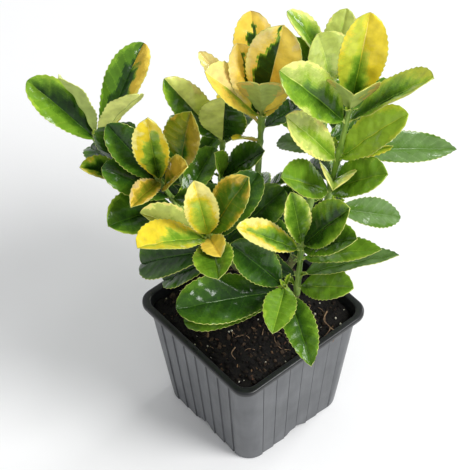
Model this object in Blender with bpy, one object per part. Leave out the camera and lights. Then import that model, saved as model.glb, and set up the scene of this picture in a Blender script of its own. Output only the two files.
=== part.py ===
"""A variegated euonymus in a square nursery pot.

A short main stem stands in the soil and forks into boughs. Each bough ends at the foot of one leafy
shoot. A shoot is a mass of its own: a stem with opposite pairs of leaves and a few side sprigs, fused
into one solid that keeps clear of every other mass and of the limbs.

Lengths are in metres. The plant's own measures are in millimetres and degrees, in a frame with its
origin at the middle of the soil: across to the right and away from somebody who faces the pot's front
corner, and up. A heading is a turn from across (0) through away (90), and a lift is above the level.
"""

import math
import random

import bmesh
import bpy
from mathutils import Vector
from mathutils.bvhtree import BVHTree

MM = 0.001
GAP = 0.3 * MM

# The pot
RIM_HALF = 0.045
RIM_CORNER = 0.0088
RIM_HEIGHT = 0.0031
RIM_INNER_HALF = 0.0412
POT_HEIGHT = 0.080
LEDGE_DROP = 0.0034
WALL_TOP_HALF = 0.0418
LEDGE_HALF = 0.0428
BASE_HALF = 0.0356
BASE_CORNER = 0.0108
WALL = 0.0014
FLOOR = 0.0045
GROOVES = 7
GROOVE_SPACING = 0.225
GROOVE_WIDTH = 0.0004
PANEL_STEP = 0.0005
CORNER_STEPS = 5
NOTCH_HALF = 0.008
NOTCH_HEIGHT = 0.0043
NOTCH_DEPTH = 0.006

# The soil
SOIL_TOP = 0.075
SOIL_EDGE_DROP = 0.0015
SOIL_CROWN_SHARE = 0.72

# The plant stands turned this far to the pot's sides, so that its front faces the front corner.
FRONT_TURN = math.radians(50.5)

# Stems and leaves, in millimetres and degrees
MAIN_STEM_FOOT = (15, 3, 0.3)
MAIN_STEM_TOP = (12, 5, 30)
MAIN_STEM_RADII = (3.9, 3.1)
FLARE = 1.3
LIMB_SIDES = 8
LIMB_STEPS = 7
SHOOT_SIDES = 6
SHOOT_STEPS = 4
SHOOT_RADII = (1.75, 1.15)
SPRIG_RADIUS = 0.9
STALK_SHARE = 0.08
STALK_HALF = 1.1
LEAF_THICKNESS = 0.7
STALK_THICKNESS = 1.5
LEAF_WIDTH = 0.44
LEAF_BEND = 16
LEAF_FOLD = 20
LEAF_ROWS = (0.0, 0.1, 0.35, 0.63, 0.88, 1.0)
LIGHT_HEADING = 270
LIGHT_LIFT = 58
STEM_PULL = 0.35
CLEARANCE = 0.5
OWN_REACH = 0.5
TIP_HALF = 1.0
LEAF_SWELL = 0.8
LEAF_POINT = 0.5

# Turns of heading and lift that a leaf tries in this order until it is clear.
SHIFTS = [(0, 0), (0, 7), (0, -7), (9, 0), (-9, 0), (9, 9), (-9, 9), (0, 15), (0, -15), (18, 0), (-18, 0),
          (16, 14), (-16, 14), (0, 24), (0, -24), (28, 6), (-28, 6)]
SHORTER = (1.0, 0.82)


def leaf(heading, lift, length, width=LEAF_WIDTH, fold=LEAF_FOLD, roll=0, bend=LEAF_BEND, pull=STEM_PULL,
         point=LEAF_POINT):
    """A leaf from its node: lengths in millimetres, angles in degrees, width as a share of the length.
    pull turns its upper side to the stem, point sharpens its tip."""
    return dict(heading=heading, lift=lift, length=length, width=width, fold=fold, roll=roll, bend=bend,
                pull=pull, point=point)


def shoot(foot, tip, *pairs, sprigs=()):
    """A stem from foot to tip. A pair is its share of the stem, then its two leaves."""
    return dict(foot=foot, tip=tip, pairs=pairs, sprigs=sprigs)


SHOOTS = {
    "front_left": shoot(
        (-15, -15, 60), (-22, -28, 95),
        (0.15, leaf(165, -41, 42, width=0.46), leaf(40, -15, 30)),
        (0.45, leaf(160, -32, 50, width=0.56), leaf(30, 29, 46, width=0.5)),
        (0.70, leaf(180, 35, 43, width=0.46, fold=34, roll=14),
         leaf(46, 36, 42, width=0.54)),
        (0.88, leaf(219, 32, 52, width=0.46, roll=24),
         leaf(276, 20, 40, width=0.56)),
        (0.95, leaf(285, 24, 24, width=0.62, fold=30, pull=3)),
        (1.00, leaf(233, 79, 50, width=0.38), leaf(342, 67, 54, width=0.4)),
    ),
    "front_right": shoot(
        (23, -12, 28), (25, -18, 74),
        (0.15, leaf(150, 20, 34), leaf(322, 42, 42, width=0.46)),
        (0.38, leaf(170, 20, 32), leaf(345, 31, 60, width=0.28, roll=-20, point=0.8)),
        (0.72, leaf(332, 35, 54, width=0.3, roll=-15, point=0.75), leaf(130, 15, 30)),
        (0.90, leaf(322, 44, 46, width=0.44), leaf(203, 45, 50, width=0.34)),
        (1.00, leaf(198, 82, 44, width=0.36), leaf(331, 59, 50, width=0.46)),
    ),
    "low_front": shoot(
        (19, -25, 43), (16, -30, 56),
        (0.20, leaf(192, -8, 56, width=0.36)),
        (0.60, leaf(198, 9, 60, width=0.47), leaf(281, 6, 54, width=0.34, point=0.7)),
        (1.00, leaf(259, 16, 41, width=0.46, point=0.65), leaf(182, 60, 45, width=0.5)),
    ),
    "left": shoot(
        (-34, -2, 81), (-46, -5, 111),
        (0.20, leaf(60, 10, 38)),
        (0.30, leaf(218, 20, 45, width=0.62)),
        (0.50, leaf(187, 40, 44, width=0.48), leaf(320, 35, 26)),
        (0.80, leaf(302, 64, 45, width=0.42)),
        (0.90, leaf(168, 56, 46)),
        (1.00, leaf(234, 83, 51, width=0.39), leaf(247, 25, 36, width=0.44, fold=38)),
    ),
    "middle": shoot(
        (3, 17, 78), (6, 20, 130),
        (0.66, leaf(222, 39, 24, width=0.35, roll=50)),
        (0.82, leaf(57, -22, 38, width=0.38)),
        (0.86, leaf(150, 46, 50, width=0.22)),
        (0.92, leaf(142, 66, 48, width=0.42), leaf(24, 66, 48, width=0.36)),
        (0.96, leaf(186, 53, 46, width=0.52, fold=20, roll=20)),
        (0.98, leaf(265, 75, 42, width=0.6, fold=6, bend=26, pull=4)),
        (1.00, leaf(5, 80, 62, width=0.46, fold=12),
         leaf(100, 62, 55, width=0.42)),
    ),
    "right": shoot(
        (37, 3, 73), (49, 8, 148),
        (0.22, leaf(212, 45, 42, width=0.56), leaf(326, 45, 46, width=0.54)),
        (0.30, leaf(268, 42, 30, width=0.9, fold=40, bend=30, pull=2),
         leaf(100, -25, 34)),
        (0.50, leaf(198, 57, 50, width=0.4), leaf(346, 51, 54, width=0.42)),
        (0.56, leaf(337, 32, 33, width=0.24, fold=45, roll=50)),
        (0.60, leaf(142, -24, 42, width=0.3),
         leaf(9, -10, 62, width=0.31, point=0.85)),
        (0.84, leaf(192, 53, 56, width=0.48), leaf(349, 43, 56, width=0.44, roll=-34)),
        (0.94, leaf(272, 60, 34, width=0.9, fold=30, bend=40, pull=4)),
        (1.00, leaf(38, 80, 58, width=0.44), leaf(85, -15, 38)),
    ),
    "far_left": shoot(
        (-62, 8, 96), (-77, 15, 122),
        (0.10, leaf(203, 54, 30, width=0.54, fold=32), leaf(90, 10, 34)),
        (0.45, leaf(262, 78, 34, width=0.48), leaf(20, 0, 28)),
        (0.25, leaf(120, -20, 36)),
        (0.86, leaf(162, 44, 50, width=0.46, roll=10),
         leaf(57, 40, 55, width=0.4, roll=-10)),
        (1.00, leaf(180, 70, 46, width=0.36, roll=105),
         leaf(350, 56, 42, width=0.44, roll=-92)),
    ),
    "back_left": shoot(
        (-16, 16, 68), (-14, 28, 104),
        (0.20, leaf(70, -20, 38), leaf(140, -10, 38)),
        (0.42, leaf(225, 66, 30), leaf(332, 68, 41, width=0.46)),
        (0.90, leaf(70, -11, 42), leaf(75, 20, 42)),
        (1.00, leaf(180, 59, 54, width=0.38, fold=28, roll=-24),
         leaf(284, 78, 42, width=0.62, fold=14)),
        sprigs=((0.35, 150), (0.75, 70)),
    ),
    "left_back": shoot(
        (-32, 10, 70), (-36, 16, 96),
        (0.40, leaf(150, -20, 36), leaf(70, -5, 32)),
        (0.75, leaf(110, -10, 38)),
        (1.00, leaf(8, 72, 43, width=0.54), leaf(190, 80, 38)),
        sprigs=((0.30, 75),),
    ),
    "right_back": shoot(
        (35, 34, 74), (42, 48, 124),
        (0.30, leaf(30, 0, 42), leaf(100, -20, 38)),
        (0.70, leaf(95, 10, 44), leaf(10, 10, 40)),
        (0.88, leaf(141, 57, 50, width=0.36, bend=40, roll=36), leaf(160, 50, 40)),
        (1.00, leaf(215, 77, 42, width=0.68), leaf(40, 76, 46, width=0.4)),
        sprigs=((0.15, 60), (0.50, 80)),
    ),
    "low_back": shoot(
        (35, 22, 43), (43, 28, 50),
        (0.30, leaf(110, 0, 42), leaf(300, 10, 26)),
        (1.00, leaf(20, -31, 48, width=0.38, roll=12, point=0.75), leaf(80, -15, 44)),
        sprigs=((0.60, 50),),
    ),
    "centre_back": shoot(
        (8, 22, 32), (8, 30, 62),
        (0.30, leaf(120, -30, 42), leaf(40, -30, 40)),
        (0.65, leaf(205, 40, 34), leaf(311, 51, 36)),
        (0.85, leaf(20, -10, 36), leaf(100, -30, 40)),
        (1.00, leaf(242, 50, 30), leaf(291, 54, 32)),
    ),
    "low_left": shoot(
        (-14, 16, 28), (-30, 34, 44),
        (0.30, leaf(150, 0, 42), leaf(60, 10, 38)),
        (0.70, leaf(190, 10, 40), leaf(100, 5, 42)),
        (1.00, leaf(140, 25, 42), leaf(80, 20, 40)),
    ),
}

# Each limb: what it grows from and at what share of that, then its radii at both ends.
LIMBS = {
    "middle": ("main_stem", 1.0, 2.3, 1.8),
    "far_left": ("main_stem", 0.74, 2.3, 1.8),
    "right": ("main_stem", 0.55, 2.4, 1.8),
    "front_right": ("main_stem", 0.30, 2.1, 1.8),
    "centre_back": ("main_stem", 0.42, 1.9, 1.8),
    "low_left": ("main_stem", 0.16, 1.9, 1.8),
    "left": ("far_left", 0.50, 1.9, 1.8),
    "left_back": ("far_left", 0.36, 1.9, 1.8),
    "front_left": ("far_left", 0.20, 1.9, 1.8),
    "back_left": ("middle", 0.30, 1.9, 1.8),
    "right_back": ("right", 0.34, 1.9, 1.8),
    "low_back": ("right", 0.18, 1.9, 1.8),
    "low_front": ("front_right", 0.45, 1.9, 1.8),
}


def clear_scene():
    for thing in list(bpy.data.objects):
        bpy.data.objects.remove(thing, do_unlink=True)


def make_material(name, colour, roughness, specular=0.5):
    material = bpy.data.materials.new(name)
    material.use_nodes = True
    shader = material.node_tree.nodes["Principled BSDF"]
    shader.inputs["Base Color"].default_value = (*colour, 1.0)
    shader.inputs["Roughness"].default_value = roughness
    shader.inputs["Specular IOR Level"].default_value = specular
    return material


def add_object(name, points, faces, material, smooth_below=None):
    mesh = bpy.data.meshes.new(name)
    mesh.from_pydata([tuple(point) for point in points], [], faces)
    mesh.validate()
    if material:
        mesh.materials.append(material)
    if smooth_below is not None:
        mesh.shade_smooth()
        mesh.set_sharp_from_angle(angle=smooth_below)
    thing = bpy.data.objects.new(name, mesh)
    bpy.context.scene.collection.objects.link(thing)
    return thing


def apply_boolean(thing, operation, other, solver="EXACT"):
    """Cuts by one object, or joins every object of a collection, then removes what was used."""
    modifier = thing.modifiers.new("join" if operation == "UNION" else "cut", "BOOLEAN")
    modifier.operation = operation
    modifier.solver = solver
    if isinstance(other, bpy.types.Collection):
        modifier.operand_type = "COLLECTION"
        modifier.collection = other
        used = list(other.objects)
    else:
        modifier.object = other
        used = [other]
    bpy.context.view_layer.update()
    graph = bpy.context.evaluated_depsgraph_get()
    result = bpy.data.meshes.new_from_object(thing.evaluated_get(graph))
    thing.modifiers.clear()
    thing.data = result
    for piece in used:
        bpy.data.objects.remove(piece, do_unlink=True)
    if isinstance(other, bpy.types.Collection):
        bpy.data.collections.remove(other)


def loft(rings):
    """Points and faces of a closed tube through rings of equal count, with flat ends."""
    count = len(rings[0])
    points = [point for ring in rings for point in ring]
    faces = [list(range(count))[::-1]]
    for row in range(len(rings) - 1):
        for k in range(count):
            after = (k + 1) % count
            low = row * count
            faces.append([low + k, low + after, low + count + after, low + count + k])
    faces.append([(len(rings) - 1) * count + k for k in range(count)])
    return points, faces


# The pot and the soil


def square_ring(half, corner, height, step=0.0, grooves=GROOVES):
    """A rounded square, seen from above and running left. After each groove its side lies step lower."""
    flat = half - corner
    side = [(-flat, half)]
    for groove in range(grooves):
        place = (groove - (grooves - 1) / 2) * GROOVE_SPACING * half
        side.append((place, half))
        side.append((place + GROOVE_WIDTH, half - step))
    side.append((flat, half))
    points = []
    for quarter in range(4):
        turn = quarter * math.pi / 2
        out_way = Vector((math.cos(turn), math.sin(turn), 0))
        along_way = Vector((-math.sin(turn), math.cos(turn), 0))
        points += [out_way * out + along_way * place + Vector((0, 0, height)) for place, out in side]
        centre = (out_way + along_way) * flat
        for k in range(1, CORNER_STEPS):
            angle = turn + k / CORNER_STEPS * math.pi / 2
            arm = Vector((math.cos(angle), math.sin(angle), 0)) * corner
            points.append(centre + arm + Vector((0, 0, height)))
    return points


def wall_half(height):
    """Half the width of the wall's outer face at a height above the floor it stands on."""
    share = height / (POT_HEIGHT - RIM_HEIGHT - LEDGE_DROP)
    return BASE_HALF + (WALL_TOP_HALF - BASE_HALF) * share


def wall_corner(height):
    share = height / POT_HEIGHT
    return BASE_CORNER + (RIM_CORNER - BASE_CORNER) * share


def make_pot(material):
    ledge = POT_HEIGHT - RIM_HEIGHT - LEDGE_DROP
    under = POT_HEIGHT - RIM_HEIGHT
    inner_corner = BASE_CORNER - WALL
    rings = [
        square_ring(BASE_HALF - 0.0006, BASE_CORNER, 0.0, PANEL_STEP),
        square_ring(BASE_HALF, BASE_CORNER, 0.0009, PANEL_STEP),
        square_ring(WALL_TOP_HALF, wall_corner(ledge), ledge, PANEL_STEP),
        square_ring(LEDGE_HALF, wall_corner(under), ledge + 0.0008),
        square_ring(LEDGE_HALF, wall_corner(under), under),
        square_ring(RIM_HALF, RIM_CORNER, under),
        square_ring(RIM_HALF, RIM_CORNER, POT_HEIGHT - 0.0010),
        square_ring(RIM_HALF - 0.0009, RIM_CORNER, POT_HEIGHT),
        square_ring(RIM_INNER_HALF, RIM_CORNER - 0.0015, POT_HEIGHT),
        square_ring(WALL_TOP_HALF - WALL, wall_corner(ledge) - WALL, ledge),
        square_ring(wall_half(FLOOR) - WALL, inner_corner, FLOOR),
    ]
    pot = add_object("pot", *loft(rings), material)
    for quarter in range(4):
        apply_boolean(pot, "DIFFERENCE", make_notch_cutter(quarter))
    pot.data.shade_smooth()
    pot.data.set_sharp_from_angle(angle=math.radians(25))
    return pot


def make_notch_cutter(quarter):
    """The shallow arch under the middle of one side, high at its left and low at its right."""
    turn = quarter * math.pi / 2
    out_way = Vector((math.cos(turn), math.sin(turn), 0))
    along_way = Vector((-math.sin(turn), math.cos(turn), 0))
    outline = [(-NOTCH_HALF, -0.001), (NOTCH_HALF, -0.001), (NOTCH_HALF, NOTCH_HEIGHT * 0.08),
               (NOTCH_HALF * 0.15, NOTCH_HEIGHT), (-NOTCH_HALF * 0.5, NOTCH_HEIGHT * 0.85)]
    rings = []
    for out in (BASE_HALF - NOTCH_DEPTH, BASE_HALF + 0.003):
        rings.append([out_way * out + along_way * along + Vector((0, 0, up)) for along, up in outline])
    return add_object("notch_cutter", *loft(rings), None)


def make_soil(material):
    def ring(height, inset):
        half = wall_half(height) - WALL - GAP - inset
        return square_ring(half, wall_corner(height) - WALL, height, grooves=0)

    edge = SOIL_TOP - SOIL_EDGE_DROP
    crown = [point * SOIL_CROWN_SHARE for point in ring(SOIL_TOP, GAP)]
    for point in crown:
        point.z = SOIL_TOP
    limit = POT_HEIGHT - RIM_HEIGHT - LEDGE_DROP
    rings = [ring(FLOOR + GAP, GAP), ring(min(edge, limit), GAP), crown]
    return add_object("soil", *loft(rings), material)


# The plant's frame, limbs and stems


def from_plant(point):
    """A place in the plant's frame, in millimetres, as a place beside the pot in metres."""
    across, away, up = point
    x = across * math.cos(FRONT_TURN) - away * math.sin(FRONT_TURN)
    y = across * math.sin(FRONT_TURN) + away * math.cos(FRONT_TURN)
    return Vector((x * MM, y * MM, SOIL_TOP + up * MM))


def direction(heading, lift):
    turn = FRONT_TURN + math.radians(heading)
    rise = math.radians(lift)
    return Vector((math.cos(turn) * math.cos(rise), math.sin(turn) * math.cos(rise), math.sin(rise)))


def bezier(start, pull_start, pull_end, end, steps):
    points = []
    for k in range(steps + 1):
        t = k / steps
        s = 1 - t
        points.append(start * s ** 3 + pull_start * 3 * s * s * t + pull_end * 3 * s * t * t + end * t ** 3)
    return points


def tube(path, radii, sides, last_way=None):
    """Rings round a path. Each ring lies across the path there, with no twist between rings."""
    rings = []
    spoke = None
    for k, point in enumerate(path):
        ahead = path[min(k + 1, len(path) - 1)]
        behind = path[max(k - 1, 0)]
        way = (ahead - behind).normalized()
        if last_way and k == len(path) - 1:
            way = last_way
        if spoke is None:
            spoke = way.orthogonal().normalized()
        spoke = (spoke - way * spoke.dot(way)).normalized()
        other = way.cross(spoke)
        ring = []
        for side in range(sides):
            angle = side / sides * 2 * math.pi
            ring.append(point + (spoke * math.cos(angle) + other * math.sin(angle)) * radii[k])
        rings.append(ring)
    return rings


def main_stem_path():
    foot = from_plant(MAIN_STEM_FOOT)
    top = from_plant(MAIN_STEM_TOP)
    up = Vector((0, 0, (top.z - foot.z) / 3))
    path = bezier(foot, foot + up, top - up * 0.8, top, LIMB_STEPS)
    low, high = MAIN_STEM_RADII
    radii = []
    for k in range(LIMB_STEPS + 1):
        share = k / LIMB_STEPS
        radii.append((low + (high - low) * share + FLARE * math.exp(-7 * share)) * MM)
    return path, radii


def along(path, share):
    """The point at a share of a path's steps, and the path's direction there."""
    place = share * (len(path) - 1)
    k = min(int(place), len(path) - 2)
    way = path[k + 1] - path[k]
    return path[k] + way * (place - k), way.normalized()


def shoot_way(name):
    return (from_plant(SHOOTS[name]["tip"]) - from_plant(SHOOTS[name]["foot"])).normalized()


def limb_paths():
    """Paths and radii of the main stem and of every bough, each bough after what it grows from."""
    paths = {"main_stem": main_stem_path()}
    for name, (parent, share, thick, thin) in LIMBS.items():
        start, parent_way = along(paths[parent][0], share)
        end_way = shoot_way(name)
        end = from_plant(SHOOTS[name]["foot"]) - end_way * GAP
        reach = (end - start).length
        out_way = ((end - start).normalized() + parent_way * 0.25).normalized()
        path = bezier(start, start + out_way * reach * 0.35, end - end_way * reach * 0.3, end, LIMB_STEPS)
        radii = [(thick + (thin - thick) * k / LIMB_STEPS) * MM for k in range(LIMB_STEPS + 1)]
        paths[name] = (path, radii)
    return paths


def make_limbs(paths, material):
    """The main stem and the boughs. Each bough is cut a little clear of what it grows from."""
    made = []
    for name, (path, radii) in paths.items():
        node = name if name == "main_stem" else "bough_" + name
        last_way = shoot_way(name) if name in LIMBS else None
        limb = add_object(node, *loft(tube(path, radii, LIMB_SIDES, last_way)), material, math.radians(50))
        if name in LIMBS:
            parent_path, parent_radii = paths[LIMBS[name][0]]
            wide = [radius + GAP for radius in parent_radii]
            longer = [parent_path[0] - (parent_path[1] - parent_path[0]).normalized() * GAP]
            longer += parent_path[1:-1]
            longer += [parent_path[-1] + (parent_path[-1] - parent_path[-2]).normalized() * GAP]
            cutter = add_object("cutter", *loft(tube(longer, wide, LIMB_SIDES)), None)
            apply_boolean(limb, "DIFFERENCE", cutter)
        made.append(limb)
    return made


# Leaves


def grow_leaf(root, stem_way, shape, heading_shift, lift_shift, scale):
    """A leaf's frame: its root, the way of its chord, its upper side's normal, and its sizes."""
    way = direction(shape["heading"] + heading_shift, shape["lift"] + lift_shift)
    light = (direction(LIGHT_HEADING, LIGHT_LIFT) + stem_way * shape["pull"]).normalized()
    normal = (light - way * light.dot(way)).normalized()
    side = way.cross(normal)
    roll = math.radians(shape["roll"])
    rolled = normal * math.cos(roll) + side * math.sin(roll)
    return dict(root=root, way=way, normal=rolled, side=way.cross(rolled),
                length=shape["length"] * scale * MM, width=shape["width"], point=shape["point"],
                fold=math.radians(shape["fold"]), bend=math.radians(shape["bend"]))


def leaf_row(blade, share):
    """The midrib's point at a share of the length, the normal there, and half the blade's width."""
    bend = blade["bend"]
    angle = bend * (share - 0.5)
    radius = blade["length"] / (2 * math.sin(bend / 2))
    run = radius * (math.sin(angle) + math.sin(bend / 2))
    rise = radius * (math.cos(angle) - math.cos(bend / 2))
    middle = blade["root"] + blade["way"] * run + blade["normal"] * rise
    normal = blade["normal"] * math.cos(angle) + blade["way"] * math.sin(angle)
    return middle, normal, max(blade_half(blade, share), TIP_HALF * MM)


def blade_half(blade, share):
    """Half the blade's width at a share of the length: widest beyond the middle, round at the tip."""
    open_share = max(0.0, (share - STALK_SHARE) / (1 - STALK_SHARE))
    point = blade["point"]
    widest = LEAF_SWELL / (LEAF_SWELL + point)
    profile = (open_share / widest) ** LEAF_SWELL * ((1 - open_share) / (1 - widest)) ** point
    return blade["width"] * blade["length"] * 0.5 * profile


def leaf_solid(blade, pad=0.0, first=0.0):
    """Points and faces of a leaf as a thin folded slab, made thicker and wider by pad for a test."""
    rings = []
    for share in LEAF_ROWS:
        if share < first:
            continue
        middle, normal, half = leaf_row(blade, share)
        on_stalk = share < STALK_SHARE
        thickness = STALK_THICKNESS if on_stalk else LEAF_THICKNESS
        half = STALK_HALF * MM if on_stalk else half
        lift = normal * (thickness * MM / 2 + pad)
        edge_out = blade["side"] * (half + pad) * math.cos(blade["fold"])
        edge_up = normal * (half + pad) * math.sin(blade["fold"])
        left = middle - edge_out + edge_up
        right = middle + edge_out + edge_up
        rings.append([left + lift, left - lift, middle - lift, right - lift, right + lift, middle + lift])
    return loft(rings)


def tree_of(points, faces):
    return BVHTree.FromPolygons([tuple(point) for point in points], faces)


def is_clear(blade, owner, placed):
    """Whether a leaf keeps clear of the other masses and limbs, and its blade of its own mass too."""
    whole = tree_of(*leaf_solid(blade, CLEARANCE * MM))
    outer = tree_of(*leaf_solid(blade, 0.0, OWN_REACH))
    for other, tree in placed:
        if (outer if other == owner else whole).overlap(tree):
            return False
    return True


def place_leaf(root, stem_way, shape, owner, placed):
    """The first clear place near the wanted one, or None where there is none."""
    for scale in SHORTER:
        for heading_shift, lift_shift in SHIFTS:
            blade = grow_leaf(root, stem_way, shape, heading_shift, lift_shift, scale)
            if is_clear(blade, owner, placed):
                placed.append((owner, tree_of(*leaf_solid(blade))))
                return blade
    return None


def varied(shape, dice):
    """The wanted leaf with this plant's small differences."""
    return dict(shape, bend=shape["bend"] + dice.uniform(-8, 8), fold=shape["fold"] + dice.uniform(-5, 5),
                roll=shape["roll"] + dice.uniform(-8, 8))


def shoot_stem(name):
    foot = from_plant(SHOOTS[name]["foot"])
    tip = from_plant(SHOOTS[name]["tip"])
    path = [foot.lerp(tip, k / SHOOT_STEPS) for k in range(SHOOT_STEPS + 1)]
    low, high = SHOOT_RADII
    radii = [(low + (high - low) * k / SHOOT_STEPS) * MM for k in range(SHOOT_STEPS + 1)]
    return path, radii


def grow_sprig(start, heading, dice, owner, placed):
    """A short side twig with two pairs of young leaves, where there is room for it."""
    lift = dice.uniform(0, 25)
    length = dice.uniform(14, 20) * MM
    way = direction(heading + dice.uniform(-12, 12), lift)
    path = [start, start + way * length]
    radii = [SPRIG_RADIUS * MM, SPRIG_RADIUS * 0.8 * MM]
    solid = loft(tube(path, radii, SHOOT_SIDES))
    tree = tree_of(*loft(tube([start + way * 3 * MM, path[1]], radii, SHOOT_SIDES)))
    if any(tree.overlap(other) for _, other in placed):
        return [], []
    placed.append((owner, tree))
    blades = []
    for pair, share in enumerate((0.55, 1.0)):
        for side in (-1, 1):
            turn = 90 * side if pair == 0 else 30 * side
            rise = lift + dice.uniform(-10, 15) + 12 * pair
            shape = leaf(heading + turn, rise, dice.uniform(26, 36))
            blades.append(place_leaf(start + way * length * share, way, varied(shape, dice), owner, placed))
    return [solid], [blade for blade in blades if blade]


def grow_shoots(paths):
    """Every shoot's twigs and leaves, grown by one rule: tips first, and only where there is room."""
    placed = [(name, tree_of(*loft(tube(path, radii, LIMB_SIDES)))) for name, (path, radii) in paths.items()]
    stems = {name: shoot_stem(name) for name in SHOOTS}
    placed += [("foliage_" + name, tree_of(*loft(tube(*stems[name], SHOOT_SIDES)))) for name in SHOOTS]
    grown = {}
    for number, (name, plan) in enumerate(SHOOTS.items()):
        dice = random.Random(number)
        path = stems[name][0]
        owner = "foliage_" + name
        blades = []
        for share, *pair in reversed(plan["pairs"]):
            root, stem_way = along(path, min(share, 0.98))
            blades += [place_leaf(root, stem_way, varied(shape, dice), owner, placed) for shape in pair]
        grown[name] = ([], [blade for blade in blades if blade])
    for number, (name, plan) in enumerate(SHOOTS.items()):
        dice = random.Random(100 + number)
        for share, heading in plan["sprigs"]:
            start, _ = along(stems[name][0], share)
            twigs, blades = grow_sprig(start, heading, dice, "foliage_" + name, placed)
            grown[name][0].extend(twigs)
            grown[name][1].extend(blades)
    return stems, grown


def keep_outer_skin(thing):
    """Drops loose scraps and the skins of sealed hollows, so that one outer skin is left."""
    skin = bmesh.new()
    skin.from_mesh(thing.data)
    islands = []
    unseen = set(skin.verts)
    while unseen:
        front = [unseen.pop()]
        island = list(front)
        while front:
            for edge in front.pop().link_edges:
                for vertex in edge.verts:
                    if vertex in unseen:
                        unseen.remove(vertex)
                        front.append(vertex)
                        island.append(vertex)
        islands.append(island)
    islands.sort(key=len)
    for island in islands[:-1]:
        bmesh.ops.delete(skin, geom=island, context="VERTS")
    skin.to_mesh(thing.data)
    skin.free()


def make_foliage(stems, grown, material):
    """One solid for each shoot: its stem, with its twigs and leaves fused on."""
    made = []
    for name, (twigs, blades) in grown.items():
        stem = add_object("foliage_" + name, *loft(tube(*stems[name], SHOOT_SIDES)), material)
        parts = bpy.data.collections.new("parts_" + name)
        bpy.context.scene.collection.children.link(parts)
        for k, (points, faces) in enumerate(twigs + [leaf_solid(blade) for blade in blades]):
            piece = add_object(f"piece_{k}", points, faces, None)
            bpy.context.scene.collection.objects.unlink(piece)
            parts.objects.link(piece)
        apply_boolean(stem, "UNION", parts)
        keep_outer_skin(stem)
        made.append(stem)
    return made


def main():
    clear_scene()
    plastic = make_material("pot_plastic", (0.115, 0.125, 0.13), 0.42)
    earth = make_material("soil", (0.022, 0.015, 0.011), 0.95, 0.2)
    bark = make_material("stem_bark", (0.17, 0.21, 0.07), 0.6)
    green = make_material("leaf_green", (0.17, 0.30, 0.045), 0.35)
    make_pot(plastic)
    make_soil(earth)
    paths = limb_paths()
    make_limbs(paths, bark)
    stems, grown = grow_shoots(paths)
    make_foliage(stems, grown, green)


main()
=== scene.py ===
"""A variegated euonymus in a square nursery pot, in close detail.

The plant grows by the same rule as its solids: a main stem forks into boughs, each bough carries one
leafy shoot, and a shoot bears opposite pairs of leaves. Here every leaf is a thin folded blade with
teeth, veins and a midrib, the stems carry buds and young leaflets, and the bark has its own relief.

Lengths are in metres. The plant's own measures are in millimetres and degrees, in a frame with its
origin at the middle of the soil: across to the right and away from somebody who faces the pot's front
corner, and up. A heading is a turn from across (0) through away (90), and a lift is above the level.
"""

import itertools
import math
import random

import bpy
import numpy as np
from mathutils import Matrix, Vector, noise
from mathutils.bvhtree import BVHTree


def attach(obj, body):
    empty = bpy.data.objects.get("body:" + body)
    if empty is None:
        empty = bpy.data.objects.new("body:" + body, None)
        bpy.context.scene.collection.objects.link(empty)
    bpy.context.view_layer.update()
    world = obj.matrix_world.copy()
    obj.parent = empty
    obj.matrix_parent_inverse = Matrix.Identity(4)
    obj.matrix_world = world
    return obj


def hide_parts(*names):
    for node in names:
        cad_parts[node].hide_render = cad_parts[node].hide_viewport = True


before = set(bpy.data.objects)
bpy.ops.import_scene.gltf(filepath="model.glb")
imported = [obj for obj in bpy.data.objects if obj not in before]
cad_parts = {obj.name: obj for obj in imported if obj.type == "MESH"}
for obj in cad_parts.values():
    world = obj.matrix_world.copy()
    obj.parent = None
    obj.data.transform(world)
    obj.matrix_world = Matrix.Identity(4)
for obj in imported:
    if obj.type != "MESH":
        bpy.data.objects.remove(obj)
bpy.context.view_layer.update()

MM = 0.001
GAP = 0.3 * MM

# The pot
RIM_HALF = 0.045
RIM_CORNER = 0.0088
RIM_HEIGHT = 0.0031
RIM_INNER_HALF = 0.0412
RIM_ROLL = 0.0011
RIM_FOOT_ROLL = 0.0005
POT_HEIGHT = 0.080
RIM_UNDER = POT_HEIGHT - RIM_HEIGHT
LEDGE = RIM_UNDER - 0.0034
WALL_TOP_HALF = 0.0418
LEDGE_HALF = 0.0428
BASE_HALF = 0.0356
BASE_CORNER = 0.0108
FOOT_ROLL = 0.0009
WALL_STEPS = 8
WALL = 0.0014
FLOOR = 0.0045
GROOVES = 7
GROOVE_SPACING = 0.225
GROOVE_HALF = 0.0004
GROOVE_DEPTH = 0.0006
PANEL_STEP = 0.0005
POT_CORNER_STEPS = 14
NOTCH_HALF = 0.008
NOTCH_HEIGHT = 0.0043
NOTCH_DEPTH = 0.006
POT_SHARP = math.radians(32)

# The soil
SOIL_TOP = 0.075
SOIL_EDGE_DROP = 0.0015
SOIL_SUNK = 0.0006
SOIL_LUMPS = 0.0015
SOIL_GRAINS = 0.00035
HEAP_HEIGHT = 0.0016
HEAP_REACH = 0.009
CORNER_KEPT = 0.006
FOOT_KEPT = 0.0075
SOIL_RINGS = 56
SOIL_ROUND = 200
CRUMBS = 1500
BARK_BITS = 60
FIBRES = 34
PERLITE = 70

# Bare roots that lie on the soil, by places across and away from its middle, in millimetres
ROOTS = [
    ((40, -3), (38, -9), (41, -15), (36, -22)),
    ((41, -14), (44, -18), (42, -24)),
    ((-10, -26), (-12, -30), (-10, -34)),
]

# The plant stands turned this far to the pot's sides, so that its front faces the front corner.
FRONT_TURN = math.radians(50.5)

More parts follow.
